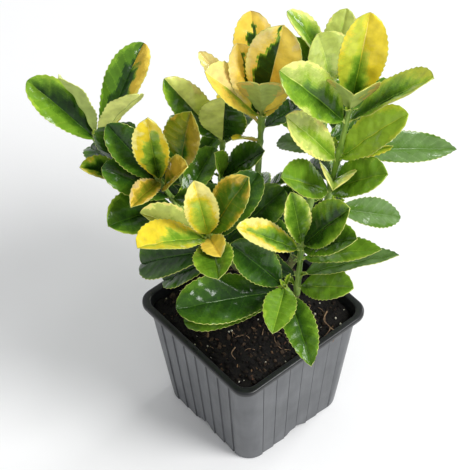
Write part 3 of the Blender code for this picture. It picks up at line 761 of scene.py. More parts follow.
def cut_notch(pot, quarter):
    """Cuts the shallow arch under the middle of one side, high at its left and low at its right."""
    out_way, along_way = side_ways(quarter)
    outline = [(-NOTCH_HALF, -0.001), (NOTCH_HALF, -0.001), (NOTCH_HALF, NOTCH_HEIGHT * 0.08),
               (NOTCH_HALF * 0.15, NOTCH_HEIGHT), (-NOTCH_HALF * 0.5, NOTCH_HEIGHT * 0.85)]
    rings = []
    for out in (BASE_HALF - NOTCH_DEPTH, BASE_HALF + 0.003):
        rings.append([out_way * out + along_way * place + Vector((0, 0, up)) for place, up in outline])
    cutter = add_mesh("notch_cutter", *loft(rings), [], smooth=False)
    modifier = pot.modifiers.new("cut", "BOOLEAN")
    modifier.operation = "DIFFERENCE"
    modifier.object = cutter
    graph = bpy.context.evaluated_depsgraph_get()
    result = bpy.data.meshes.new_from_object(pot.evaluated_get(graph))
    pot.modifiers.clear()
    pot.data = result
    bpy.data.objects.remove(cutter, do_unlink=True)


# The soil


def soil_height(x, y):
    """The soil's lumpy surface, a little lower at the pot's wall, heaped round the stem's foot."""
    foot = from_plant(MAIN_STEM_FOOT)
    edge = max(abs(x), abs(y)) / WALL_TOP_HALF
    lumps = noise.fractal(Vector((x, y, 0.3)) * 130, 1.0, 2.0, 4) * SOIL_LUMPS
    grains = noise.noise(Vector((x, y, 0.7)) * 900) * SOIL_GRAINS
    heap = HEAP_HEIGHT * math.exp(-((x - foot.x) ** 2 + (y - foot.y) ** 2) / HEAP_REACH ** 2)
    return SOIL_TOP - SOIL_EDGE_DROP * edge ** 4 - SOIL_SUNK + lumps + grains + heap


def soil_outline(half, corner):
    """Points round a rounded square, at even turns about its middle."""
    flat = half - corner
    edge = []
    for k in range(SOIL_ROUND):
        angle = 2 * math.pi * k / SOIL_ROUND
        way = np.array((math.cos(angle), math.sin(angle)))
        point = way * half / max(abs(way))
        if (np.abs(point) - flat).min() > 0:
            middle = np.sign(point) * flat
            inward = way @ middle
            point = way * (inward + math.sqrt(max(inward ** 2 - middle @ middle + corner ** 2, 0)))
        edge.append(point)
    return edge


def make_soil_bed(material):
    """The whole bed: a lumpy top over plain sides down to the pot's floor."""
    half = wall_half(LEDGE) - WALL - GAP
    low_share = (wall_half(FLOOR + GAP) - WALL - GAP) / half
    edge = soil_outline(half, wall_corner(LEDGE) - WALL)
    points = [(0, 0, soil_height(0, 0))]
    for ring in range(1, SOIL_RINGS + 1):
        share = ring / SOIL_RINGS
        points += [(x * share, y * share, soil_height(x * share, y * share)) for x, y in edge]
    points += [(x * low_share, y * low_share, FLOOR + GAP) for x, y in edge]
    points.append((0, 0, FLOOR + GAP))
    faces = []
    for k in range(SOIL_ROUND):
        after = (k + 1) % SOIL_ROUND
        faces.append([0, 1 + k, 1 + after])
        for ring in range(SOIL_RINGS):
            inner = 1 + ring * SOIL_ROUND
            outer = inner + SOIL_ROUND
            faces.append([inner + k, outer + k, outer + after, inner + after])
        low = 1 + SOIL_RINGS * SOIL_ROUND
        faces.append([low + k, len(points) - 1, low + after])
    finish_piece(add_mesh("soil_bed", points, faces, [material]), "soil", "soil")


def lump(centre, size, stretch, dice, rough):
    """A small closed stone or crumb: an icosahedron split once, pushed in and out and turned."""
    turn = Matrix.Rotation(dice.uniform(0, 2 * math.pi), 3, Vector((dice.gauss(0, 1), dice.gauss(0, 1), 1)))
    made = []
    for point in LUMP_POINTS:
        shift = 1 + dice.uniform(-rough, rough)
        scaled = Vector((point[0] * stretch[0], point[1] * stretch[1], point[2] * stretch[2])) * size * shift
        made.append(turn @ scaled + centre)
    return made


def lump_shape():
    """Points and faces of an icosahedron with every face split in four."""
    golden = (1 + 5 ** 0.5) / 2
    points = []
    for a in (-1, 1):
        for b in (-golden, golden):
            points += [Vector((0, a, b)), Vector((a, b, 0)), Vector((b, 0, a))]
    points = [point.normalized() for point in points]
    side_limit = 1.1
    middles = {}

    def middle(a, b):
        key = (min(a, b), max(a, b))
        if key not in middles:
            middles[key] = len(points)
            points.append((points[a] + points[b]).normalized())
        return middles[key]

    split = []
    for i, j, k in itertools.combinations(range(12), 3):
        corners = [points[i], points[j], points[k]]
        if all((corners[a] - corners[a - 1]).length < side_limit for a in range(3)):
            outward = (corners[1] - corners[0]).cross(corners[2] - corners[0]).dot(corners[0]) > 0
            a, b, c = (i, j, k) if outward else (i, k, j)
            ab = middle(a, b)
            bc = middle(b, c)
            ca = middle(c, a)
            split += [[a, ab, ca], [ab, b, bc], [ca, bc, c], [ab, bc, ca]]
    return points, split


LUMP_POINTS, LUMP_FACES = lump_shape()


def soil_place(dice, margin):
    """A random place on the soil, off the stem's foot."""
    foot = from_plant(MAIN_STEM_FOOT)
    reach = wall_half(SOIL_TOP) - WALL - margin * MM
    while True:
        x = dice.uniform(-reach, reach)
        y = dice.uniform(-reach, reach)
        in_corner = min(abs(x), abs(y)) > reach - CORNER_KEPT
        if not in_corner and math.hypot(x - foot.x, y - foot.y) > FOOT_KEPT:
            return x, y


def scatter(name, seed, count, materials, weights, size, stretch, margin, raised, rough):
    """Lumps over the soil. size and stretch draw each lump's own, margin is in millimetres from the wall,
    raised is how far up in its width a lump's middle lies, and rough how uneven it is."""
    dice = random.Random(seed)
    heap = Heap()
    for _ in range(count):
        x, y = soil_place(dice, margin)
        width = size(dice) * MM
        shape = stretch(dice)
        points = lump(Vector((x, y, soil_height(x, y) + width * raised)), width, shape, dice, rough)
        look = dice.choices(range(len(weights)), weights)[0] if len(weights) > 1 else 0
        heap.add(points, LUMP_FACES, look)
    finish_piece(heap.mesh(name, materials, smooth=False), "soil")


def make_crumbs(materials):
    """Loose crumbs of peat in three browns, most of them fine."""
    scatter("soil_crumbs", 11, CRUMBS, materials, (5, 3, 2),
            lambda dice: dice.uniform(0.35, 0.75) if dice.random() < 0.72 else dice.uniform(0.8, 1.6),
            lambda dice: (1, dice.uniform(0.6, 1.2), dice.uniform(0.5, 0.9)),
            margin=2.5, raised=0.3, rough=0.25)


def make_bark_bits(materials):
    """Flat flakes of composted bark, tan and reddish, lying at all angles."""
    scatter("soil_bark_bits", 13, BARK_BITS, materials, (3, 2), lambda dice: dice.uniform(0.5, 1.9),
            lambda dice: (1, dice.uniform(0.25, 0.6), dice.uniform(0.14, 0.3)),
            margin=4, raised=0.25, rough=0.18)


def make_grit(material):
    """Pale grains of perlite."""
    scatter("soil_grit", 12, PERLITE, [material], (1,), lambda dice: dice.uniform(0.3, 0.75),
            lambda dice: (1, 0.9, 0.8), margin=2.5, raised=0.5, rough=0.2)


def add_fibre(heap, path, radius, sides):
    """A root or straw that tapers from its start."""
    steps = len(path) - 1
    heap.add(*loft(tube(path, [radius * (1.1 - 0.7 * k / steps) for k in range(steps + 1)], sides)), 0)


def make_fibres(material):
    """Thin roots and straws that lie on the bed in slack curves."""
    dice = random.Random(14)
    heap = Heap()
    steps = 8
    for _ in range(FIBRES):
        x, y = soil_place(dice, 8)
        heading = dice.uniform(0, 2 * math.pi)
        length = dice.uniform(4, 13) * MM
        radius = dice.uniform(0.12, 0.3) * MM
        curl = dice.uniform(-1.6, 1.6)
        path = []
        for k in range(steps + 1):
            height = soil_height(x, y) + radius * 1.5 + 0.5 * MM * math.sin(k / steps * math.pi)
            path.append(Vector((x, y, height)))
            heading += curl / steps + dice.uniform(-0.2, 0.2)
            x += math.cos(heading) * length / steps
            y += math.sin(heading) * length / steps
        add_fibre(heap, path, radius, 5)
    for spots in ROOTS:
        path = fine_path([from_plant((*spot, 1.2)) for spot in spots], 16)
        for point in path:
            point.z = max(point.z, soil_height(point.x, point.y) + 0.4 * MM)
        add_fibre(heap, path, 0.35 * MM, 6)
    finish_piece(heap.mesh("soil_fibres", [material]), "soil")


# The plant's frame, limbs and stems


def from_plant(point):
    """A place in the plant's frame, in millimetres, as a place beside the pot in metres."""
    across, away, up = point
    x = across * math.cos(FRONT_TURN) - away * math.sin(FRONT_TURN)
    y = across * math.sin(FRONT_TURN) + away * math.cos(FRONT_TURN)
    return Vector((x * MM, y * MM, SOIL_TOP + up * MM))


def direction(heading, lift):
    turn = FRONT_TURN + math.radians(heading)
    rise = math.radians(lift)
    return Vector((math.cos(turn) * math.cos(rise), math.sin(turn) * math.cos(rise), math.sin(rise)))


def bezier(start, pull_start, pull_end, end):
    points = []
    for k in range(LIMB_STEPS + 1):
        t = k / LIMB_STEPS
        s = 1 - t
        points.append(start * s ** 3 + pull_start * 3 * s * s * t + pull_end * 3 * s * t * t + end * t ** 3)
    return points


def taper(thick, thin, steps):
    """Radii in metres from one end of a stem to the other."""
    return [(thick + (thin - thick) * k / steps) * MM for k in range(steps + 1)]


def tube(path, radii, sides):
    """Rings round a path. Each ring lies across the path there, with no twist between rings."""
    rings = []
    spoke = None
    for k, point in enumerate(path):
        way = (path[min(k + 1, len(path) - 1)] - path[max(k - 1, 0)]).normalized()
        if spoke is None:
            spoke = way.orthogonal().normalized()
        spoke = (spoke - way * spoke.dot(way)).normalized()
        other = way.cross(spoke)
        turns = [side / sides * 2 * math.pi for side in range(sides)]
        rings.append([point + (spoke * math.cos(turn) + other * math.sin(turn)) * radii[k] for turn in turns])
    return rings


def along(path, share):
    """The point at a share of a path's steps, and the path's direction there."""
    place = share * (len(path) - 1)
    k = min(int(place), len(path) - 2)
    way = path[k + 1] - path[k]
    return path[k] + way * (place - k), way.normalized()


def shoot_way(name):
    return (from_plant(SHOOTS[name]["tip"]) - from_plant(SHOOTS[name]["foot"])).normalized()


def main_stem():
    foot = from_plant(MAIN_STEM_FOOT)
    top = from_plant(MAIN_STEM_TOP)
    up = Vector((0, 0, (top.z - foot.z) / 3))
    flare = [FLARE * MM * math.exp(-FLARE_FADE * k / LIMB_STEPS) for k in range(LIMB_STEPS + 1)]
    radii = [radius + more for radius, more in zip(taper(*MAIN_STEM_RADII, LIMB_STEPS), flare)]
    return bezier(foot, foot + up, top - up * 0.8, top), radii


def limb_paths():
    """Paths and radii of the main stem and of every bough, each bough after what it grows from."""
    paths = {"main_stem": main_stem()}
    for name, (parent, share, thick, thin) in LIMBS.items():
        start, parent_way = along(paths[parent][0], share)
        end_way = shoot_way(name)
        end = from_plant(SHOOTS[name]["foot"]) - end_way * GAP
        reach = (end - start).length
        out_way = ((end - start).normalized() + parent_way * PARENT_SHARE).normalized()
        pull_start = start + out_way * reach * LIMB_PULLS[0]
        path = bezier(start, pull_start, end - end_way * reach * LIMB_PULLS[1], end)
        paths[name] = (path, taper(thick, thin, LIMB_STEPS))
    return paths


# Placing the leaves by the rule of the solids


def grow_leaf(root, stem_way, shape, heading_shift, lift_shift, scale):
    """A leaf's frame: its root, the way of its chord, its upper side's normal, and its sizes."""
    way = direction(shape["heading"] + heading_shift, shape["lift"] + lift_shift)
    light = (direction(LIGHT_HEADING, LIGHT_LIFT) + stem_way * shape["pull"]).normalized()
    normal = (light - way * light.dot(way)).normalized()
    side = way.cross(normal)
    roll = math.radians(shape["roll"])
    rolled = normal * math.cos(roll) + side * math.sin(roll)
    return dict(shape, root=root, way=way, normal=rolled, side=way.cross(rolled),
                length=shape["length"] * scale * MM, fold=math.radians(shape["fold"]),
                bend=math.radians(shape["bend"]))


def midrib(blade, shares):
    """How far along its chord and above it a leaf's midrib lies at shares of its length, and its turn."""
    bend = blade["bend"]
    turn = bend * (shares - 0.5)
    radius = blade["length"] / (2 * math.sin(bend / 2))
    run = radius * (np.sin(turn) + math.sin(bend / 2))
    return run, radius * (np.cos(turn) - math.cos(bend / 2)), turn


def blade_half(blade, share):
    """Half the blade's width at a share of the length: widest beyond the middle, round at the tip."""
    open_share = min(max(0.0, (share - STALK_SHARE) / (1 - STALK_SHARE)), 1.0)
    point = blade["point"]
    widest = LEAF_SWELL / (LEAF_SWELL + point)
    profile = (open_share / widest) ** LEAF_SWELL * ((1 - open_share) / (1 - widest)) ** point
    return blade["width"] * blade["length"] * 0.5 * profile


def leaf_tree(blade, pad=0.0, first=0.0):
    """A leaf from a share of its length on as a thin folded slab, thicker and wider by pad, for a test."""
    rings = []
    for share in LEAF_ROWS:
        if share < first:
            continue
        run, rise, turn = midrib(blade, share)
        middle = blade["root"] + blade["way"] * run + blade["normal"] * rise
        normal = blade["normal"] * math.cos(turn) + blade["way"] * math.sin(turn)
        on_stalk = share < STALK_SHARE
        half = STALK_HALF * MM if on_stalk else max(blade_half(blade, share), TIP_HALF * MM)
        lift = normal * ((STALK_THICKNESS if on_stalk else LEAF_THICKNESS) * MM / 2 + pad)
        edge_out = blade["side"] * (half + pad) * math.cos(blade["fold"])
        edge_up = normal * (half + pad) * math.sin(blade["fold"])
        left = middle - edge_out + edge_up
        right = middle + edge_out + edge_up
        rings.append([left + lift, left - lift, middle - lift, right - lift, right + lift, middle + lift])
    return tree_of(rings)


def tree_of(rings):
    points, faces = loft(rings)
    return BVHTree.FromPolygons([tuple(point) for point in points], faces)


def is_clear(blade, owner, placed):
    """Whether a leaf keeps clear of the other masses and limbs, and its blade of its own mass too."""
    whole = leaf_tree(blade, CLEARANCE * MM)
    outer = leaf_tree(blade, first=OWN_REACH)
    return not any((outer if other == owner else whole).overlap(tree) for other, tree in placed)


def place_leaf(root, stem_way, shape, owner, placed, tries=TRIES):
    """The first clear place near the wanted one, in a list, or an empty list where there is none."""
    for scale, (heading_shift, lift_shift) in tries:
        blade = grow_leaf(root, stem_way, shape, heading_shift, lift_shift, scale)
        if is_clear(blade, owner, placed):
            placed.append((owner, leaf_tree(blade)))
            return [blade]
    return []


def varied(shape, dice):
    """The wanted leaf with this plant's small differences."""
    return dict(shape, bend=shape["bend"] + dice.uniform(-8, 8), fold=shape["fold"] + dice.uniform(-5, 5),
                roll=shape["roll"] + dice.uniform(-8, 8))


def shoot_stem(name):
    foot = from_plant(SHOOTS[name]["foot"])
    tip = from_plant(SHOOTS[name]["tip"])
    return [foot.lerp(tip, k / SHOOT_STEPS) for k in range(SHOOT_STEPS + 1)], taper(*SHOOT_RADII, SHOOT_STEPS)


def grow_sprig(start, heading, dice, owner, placed):
    """A short side twig with two pairs of young leaves, where there is room for it."""
    lift = dice.uniform(0, 25)
    length = dice.uniform(14, 20) * MM
    way = direction(heading + dice.uniform(-12, 12), lift)
    path = [start, start + way * length]
    tree = tree_of(tube([start + way * 3 * MM, path[1]], taper(*SPRIG_RADII, 1), SHOOT_SIDES))
    if any(tree.overlap(other) for _, other in placed):
        return [], []
    placed.append((owner, tree))
    blades = []
    for pair, share in enumerate(SPRIG_NODES):
        for side in (-1, 1):
            turn = 30 * side if pair else 90 * side
            rise = lift + dice.uniform(-10, 15) + 12 * pair
            shape = leaf("green", heading + turn, rise, dice.uniform(26, 36))
            blades += place_leaf(start + way * length * share, way, varied(shape, dice), owner, placed)
    return [path], blades


def grow_shoots(paths):
    """Every shoot's twigs and leaves, grown by one rule: tips first, and only where there is room."""
    placed = [(name, tree_of(tube(path, radii, LIMB_SIDES))) for name, (path, radii) in paths.items()]
    stems = {name: shoot_stem(name) for name in SHOOTS}
    placed += [("foliage_" + name, tree_of(tube(*stems[name], SHOOT_SIDES))) for name in SHOOTS]
    grown = {name: ([], []) for name in SHOOTS}
    for number, (name, plan) in enumerate(SHOOTS.items()):
        dice = random.Random(number)
        for share, *pair in reversed(plan["pairs"]):
            root, stem_way = along(stems[name][0], min(share, 0.98))
            for shape in pair:
                leaves = place_leaf(root, stem_way, varied(shape, dice), "foliage_" + name, placed)
                grown[name][1].extend(leaves)
    for number, (name, plan) in enumerate(SHOOTS.items()):
        dice = random.Random(100 + number)
        for share, heading in plan["sprigs"]:
            start, _ = along(stems[name][0], share)
            twigs, blades = grow_sprig(start, heading, dice, "foliage_" + name, placed)
            grown[name][0].extend(twigs)
            grown[name][1].extend(blades)
    return stems, grown, placed


def grow_leaflets(name, path, placed):
    """Tiny young leaves in the axils and round the tip bud, where there is room."""
    dice = random.Random("leaflets " + name)
    pairs = SHOOTS[name]["pairs"]
    spots = []
    for share, *pair in pairs:
        for shape in pair:
            if dice.random() < AXIL_CHANCE:
                spots.append((share, shape["heading"], 48, dice.uniform(7, 12)))
    for k in range(TIP_LEAFLETS):
        spots.append((0.99, pairs[-1][1]["heading"] + 45 + 90 * k, 70 - 6 * (k % 2), dice.uniform(6, 10)))
    made = []
    for share, heading, lift, length in spots:
        heading += dice.uniform(-25, 25)
        shape = leaf("fresh", heading, lift + dice.uniform(-8, 12), length, 0.36, fold=32)
        root, stem_way = along(path, min(share + 0.01, 0.99))
        made += place_leaf(root, stem_way, varied(shape, dice), "foliage_" + name, placed, TRIES[:1])
    return made


# The fine leaves


def smooth_step(low, high, values):
    share = np.clip((values - low) / (high - low), 0, 1)
    return share * share * (3 - 2 * share)


def blade_widths(blade, shares, dice):
    """Half widths inside the teeth and at the toothed edge, by row."""
    half = np.array([blade_half(blade, share) for share in shares])
    half = np.maximum(half, STALK_WIDTH * MM * (1 - smooth_step(0.9, 1.0, shares) * 0.8))
    teeth = max(4, round(blade["length"] / MM / TOOTH_SPACING))
    phase = (shares * teeth + dice.random()) % 1.0
    saw = np.where(phase < TOOTH_RISE, phase / TOOTH_RISE, (1 - phase) / (1 - TOOTH_RISE))
    depth = TOOTH * MM * smooth_step(*TEETH_START, shares) * (1 - smooth_step(*TEETH_FADE, shares) * 0.6)
    return half, np.maximum(half - depth * (1 - saw), 0.3 * half)


def relief(blade, shares, places, across, open_blade, dice):
    """The height of the blade's skin: folded up from the midrib, grooved over it, veined and puckered."""
    reach = np.abs(places)[None, :]
    offset = np.where(places < 0, 0.5, 0)[None, :]
    vein = np.cos(2 * math.pi * (shares[:, None] * VEINS - reach * VEIN_SLANT + offset))
    fine = VEIN_RELIEF * vein * np.sin(math.pi * reach ** 0.8)
    for _ in range(PUCKERS):
        heading = dice.uniform(0, math.pi)
        run = shares[:, None] * blade["length"] * math.cos(heading) + across * math.sin(heading)
        pucker = np.sin(2 * math.pi * run / MM / dice.uniform(7, 15) + dice.uniform(0, 2 * math.pi))
        fine += PUCKER * pucker * (1 - 0.6 * reach ** 4)
    for side in (-1, 1):
        turn = dice.uniform(0, 2 * math.pi)
        wave = np.sin(2 * math.pi * dice.uniform(1.4, 2.6) * shares + turn)[:, None] * reach ** 3
        fine += WAVE * wave * (places * side > 0)[None, :]
    fold = np.abs(across) * math.sin(blade["fold"]) * (1.3 - 0.3 * reach)
    groove = GROOVE * MM * np.exp(-(across / (GROOVE_WIDTH * MM)) ** 2)
    return fold + (fine * blade["length"] / FULL_LENGTH - groove) * open_blade


def blade_grid(blade, rows, columns, dice):
    """The blade's upper and lower points by row and column, and where each lies on the blade."""
    shares = np.linspace(0, 1, rows + 1)
    shares = np.concatenate([shares[:-1], [1 - part / rows for part in TIP_ROWS]])
    places = np.array([-place for place in reversed(columns)] + [0.0] + list(columns))
    half, edge = blade_widths(blade, shares, dice)
    reach = np.abs(places)[None, :]
    inside = edge[:, None] * (INSIDE_TEETH + (1 - INSIDE_TEETH) * reach)
    across = np.sign(places)[None, :] * np.minimum(reach * half[:, None], inside)
    open_blade = smooth_step(*BLADE_OPENS, shares)[:, None]
    height = relief(blade, shares, places, across, open_blade, dice)
    twist = math.radians(dice.uniform(-TWIST, TWIST)) * (shares - 0.3)[:, None]
    flat_run = across * math.cos(blade["fold"])
    side_run = flat_run * np.cos(twist) - height * np.sin(twist)
    height = height * np.cos(twist) + flat_run * np.sin(twist)
    stalk = 1 - smooth_step(*STALK_ENDS, shares)[:, None]
    thick = BLADE_THICKNESS * MM * (1 - stalk) + STALK_DEPTH * MM * stalk * np.sqrt(1 - (reach * 0.9) ** 2)
    rib = RIB * MM * np.exp(-(across / (RIB_WIDTH * MM)) ** 2) * (1 - RIB_FADE * shares)[:, None] * open_blade
    run, rise, turn = midrib(blade, shares)
    way, up, side = (np.array(blade[name]) for name in ("way", "normal", "side"))
    middles = np.array(blade["root"]) + np.outer(run, way) + np.outer(rise, up)
    normals = (np.outer(np.cos(turn), up) + np.outer(np.sin(turn), way))[:, None, :]
    flat = middles[:, None, :] + side_run[:, :, None] * side
    upper = flat + (height + thick / 2)[:, :, None] * normals
    lower = flat + (height - thick / 2 - rib)[:, :, None] * normals
    return upper, lower, shares, places


def quads(rows, columns, width, first):
    """Corner numbers of a grid of faces, where a row holds width points and the first has a number."""
    i, j = np.meshgrid(np.arange(rows), np.arange(columns), indexing="ij")
    here = (i * width + j).ravel() + first
    return np.stack([here, here + 1, here + width + 1, here + width], 1)


def strip(count, high, high_step, low, low_step, order):
    """Corner numbers of the faces that join every second step of the lower side to two of the upper."""
    step = np.arange(count)
    high = high + 2 * step * high_step
    low = low + step * low_step
    corners = [high, high + high_step, high + 2 * high_step, low + low_step, low]
    return np.stack([corners[k] for k in order], 1)


def grid_faces(rows, count):
    """Corner numbers of a closed blade's faces, part by part. The underside has half the rows and columns."""
    lower = rows * count
    low_rows = rows // 2
    low_count = (count + 1) // 2
    ahead = (0, 1, 2, 3, 4)
    return dict(
        top=quads(rows - 1, count - 1, count, 0),
        under=quads(low_rows, count // 2, low_count, lower)[:, [0, 3, 2, 1]],
        left=strip(low_rows, 0, count, lower, low_count, ahead),
        right=strip(low_rows, count - 1, count, lower + low_count - 1, low_count, (0, 4, 3, 2, 1)),
        foot=strip(count // 2, 0, 1, lower, 1, (2, 1, 0, 4, 3)),
        tip=strip(count // 2, (rows - 1) * count, 1, lower + low_rows * low_count, 1, ahead),
    )


def blade_map(parts, shares, places):
    """Each face corner's place on the unit square: the two sides apart, with a strip for each rim."""
    count = len(places)
    lower = len(shares) * count
    low_count = (count + 1) // 2
    made = []
    for kind, faces in parts.items():
        on_lower = faces >= lower
        below = faces - lower
        row = np.where(on_lower, below // low_count * 2, faces // count)
        column = np.where(on_lower, below % low_count * 2, faces % count)
        x = 0.03 + 0.42 * (places[column] + 1) / 2 + (0.52 if kind == "under" else 0)
        spot = np.stack([x, 0.03 + 0.94 * shares[row]], -1)
        if kind in MAP_STRIPS:
            axis, high, low = MAP_STRIPS[kind]
            spot[..., axis] = np.where(on_lower, low, high)
        made.append(spot.reshape(-1, 2))
    return np.concatenate(made)


def rung_name(ladder, position):
    """The plain colour at a position on a ladder: a named colour, or a step between two of them."""
    names = LADDERS[ladder]
    low = min(int(position), len(names) - 2)
    step = round((position - low) * LADDER_STEPS)
    if step in (0, LADDER_STEPS):
        return names[low + step // LADDER_STEPS]
    return f"{names[low]}_{names[low + 1]}_{step}"


def ladder_colours():
    """Every plain colour by name, as linear light, with the steps between neighbours on a ladder."""
    colours = {name: np.array(screen_colour(*colour)) for name, colour in PALETTE.items()}
    for ladder, names in LADDERS.items():
        for low in range(len(names) - 1):
            for step in range(1, LADDER_STEPS):
                share = step / LADDER_STEPS
                mixed = colours[names[low]] * (1 - share) + colours[names[low + 1]] * share
                colours[rung_name(ladder, low + share)] = mixed
    return colours


def blotches(vein_place, across, dice):
    """A smooth noise from -1 to 1 that runs out from the midrib along the veins."""
    shift = Vector((dice.uniform(0, 90), dice.uniform(0, 90), dice.uniform(0, 90)))
    made = np.empty(vein_place.shape)
    for i, j in np.ndindex(made.shape):
        place = Vector((vein_place[i, j] * 0.8, across[i, j] * 1.6, 0)) + shift
        fine = Vector((vein_place[i, j] * 2.6, across[i, j] * 5, 9)) + shift
        made[i, j] = noise.noise(place) * 1.1 + noise.noise(fine) * 0.45
    return made


def inwardness(look, s, reach):
    """How far in from the margin a place counts as: less towards the tip, more towards the base."""
    inward = (1 - reach ** 1.15) * (1 - look["tip"] * smooth_step(0.42, 1.0, s))
    return inward + look["base"] * (1 - smooth_step(0.08, 0.5, s)) * (1 - 0.5 * reach)


def face_places(shares, places):
    """Each face's share of the length, and how far across it lies, from -1 to 1."""
    return np.meshgrid((shares[:-1] + shares[1:]) / 2, (places[:-1] + places[1:]) / 2, indexing="ij")


def blade_colours(blade, shares, places, dice, numbers):
    """The colour of each upper face: by how far in from the margin it lies, ragged along the veins."""
    look = LOOKS[blade["look"]]
    s, v = face_places(shares, places)
    reach = np.abs(v)
    vein_place = s * VEINS - reach * VEIN_SLANT
    shift = dice.uniform(-0.1, 0.1) * np.sign(v) + RAGGED * blotches(vein_place, v + np.sign(v), dice)
    grain = np.random.default_rng(dice.randrange(1 << 30)).uniform(-GRAIN, GRAIN, v.shape)
    on_vein = np.where(np.abs(vein_place % 1.0 - 0.5) < VEIN_HALF, VEIN_LIGHT, 0)
    rib = look["rib"] * (1 - shares[:-1]) ** 0.6
    halves = []
    for half in (look, LOOKS[look["right"] or blade["look"]]):
        rungs = LADDERS[half["ladder"]]
        stops, shown = zip(*half["stops"])
        heights = [rungs.index(name) for name in shown]
        position = np.interp(inwardness(half, s, reach) + shift, stops, heights) + grain
        position += on_vein * (position < DARK_RUNGS)
        position[:, midrib_columns(places)] += rib[:, None]
        last = (len(rungs) - 1) * LADDER_STEPS
        colours = [numbers[rung_name(half["ladder"], step / LADDER_STEPS)] for step in range(last + 1)]
        halves.append(np.array(colours)[np.clip(np.round(position * LADDER_STEPS), 0, last).astype(int)])
    colour = np.where(v < 0, *halves)
    colour[:, [0, -1]] = numbers["rim"]
    colour[shares[:-1] < STALK_SHARE] = numbers["under_pale"]
    return colour.ravel()


def under_colours(blade, shares, places, dice, numbers):
    """The colour of each lower face: the middle's, or the margin's nearer the edge."""
    look = LOOKS[blade["look"]]
    s, v = face_places(shares, places)
    reach = np.abs(v)
    value = inwardness(look, s, reach) + RAGGED * blotches(s * VEINS - reach * VEIN_SLANT, v, dice)
    colour = np.where(value > UNDER_MARGIN, numbers[look["under"]], numbers[look["edge"]])
    colour[:, midrib_columns(places)] = numbers["under_pale"]
    colour[shares[:-1] < STALK_SHARE] = numbers["under_pale"]
    return colour.ravel()


def midrib_columns(places):
    """The columns of faces that lie on the midrib."""
    count = len(places) - 1
    return slice((count - 1) // 2, count // 2 + 1)


def make_leaves(name, blades, leaflets, materials):
    """All the leaves of one shoot as one mesh, each leaf with its own cell of the map."""
    numbers = {colour: k for k, colour in enumerate(materials)}
    dice = random.Random("leaves " + name)
    sizes = [(blade, BLADE_ROWS, BLADE_COLUMNS) for blade in blades]
    sizes += [(blade, LEAFLET_ROWS, LEAFLET_COLUMNS) for blade in leaflets]
    cells = math.ceil(math.sqrt(len(sizes)))
    points, faces, looks, maps = [], [], [], []
    count = 0
    for cell, (blade, rows, columns) in enumerate(sizes):
        upper, lower, shares, places = blade_grid(blade, rows, columns, dice)
        parts = grid_faces(len(shares), len(places))
        points += [upper.reshape(-1, 3), lower[::2, ::2].reshape(-1, 3)]
        looks.append(blade_colours(blade, shares, places, dice, numbers))
        looks.append(under_colours(blade, shares[::2], places[::2], dice, numbers))
        looks.append(np.full(sum(len(parts[kind]) for kind in MAP_STRIPS), numbers["rim"]))
        maps.append((blade_map(parts, shares, places) + np.array([cell % cells, cell // cells])) / cells)
        for part in parts.values():
            faces += (part + count).tolist()
        count += len(points[-2]) + len(points[-1])
    used, looks = np.unique(np.concatenate(looks), return_inverse=True)
    shown = [list(materials.values())[k] for k in used]
    leaves = add_mesh("leaves_" + name, np.concatenate(points), faces, shown, looks)
    layer = leaves.data.uv_layers.new(name="OFBake")
    layer.data.foreach_set("uv", np.concatenate(maps).astype(np.float32).ravel())
    finish_piece(leaves, "foliage", "foliage_" + name)


# Twigs, buds and bark


def fine_path(path, steps):
    """A smooth curve through a path's points."""
    made = []
    for k in range(steps + 1):
        place = k / steps * (len(path) - 1)
        i = min(int(place), len(path) - 2)
        t = place - i
        pull = (path[i + 1] - path[max(i - 1, 0)]) / 2
        next_pull = (path[min(i + 2, len(path) - 1)] - path[i]) / 2
        near = path[i] * (2 * t ** 3 - 3 * t ** 2 + 1) + pull * (t ** 3 - 2 * t ** 2 + t)
        made.append(near + path[i + 1] * (3 * t ** 2 - 2 * t ** 3) + next_pull * (t ** 3 - t ** 2))
    return made


def rough_stem(path, radii, sides, bumps, ridges):
    """Points and faces of a stem whose skin has a noisy relief and faint ridges along it."""
    rings = tube(path, radii, sides)
    for middle, ring in zip(path, rings):
        for side, point in enumerate(ring):
            arm = point - middle
            grain = noise.fractal(Vector((point.x, point.y, point.z * 0.45)) * 900, 1.0, 2.0, 3) * bumps
            ridge = ridges * math.cos(4 * 2 * math.pi * side / sides)
            ring[side] = middle + arm * (1 + (grain + ridge) * MM / max(arm.length, 1e-9))
    return loft(rings)


def jointed(radii, steps, nodes, size, spread):
    """Radii at even steps between those of a stem, with a swelling at each node."""
    shares = np.linspace(0, 1, steps + 1)
    widths = np.interp(shares, np.linspace(0, 1, len(radii)), radii)
    return widths + sum(size * MM * np.exp(-((shares - node) / spread) ** 2) for node in nodes)


def add_bud(heap, foot, way, length, radius):
    """A pointed bud whose pairs of scales overlap, as a turned form with four soft ribs."""
    path = [foot + way * length * MM * k / 9 for k in range(10)]
    radii = [radius * MM * max(math.sin(math.pi * (k / 9) ** 0.7) ** 0.8, 0.06) for k in range(10)]
    heap.add(*rough_stem(path, radii, 10, 0.03, 0.08), 1)


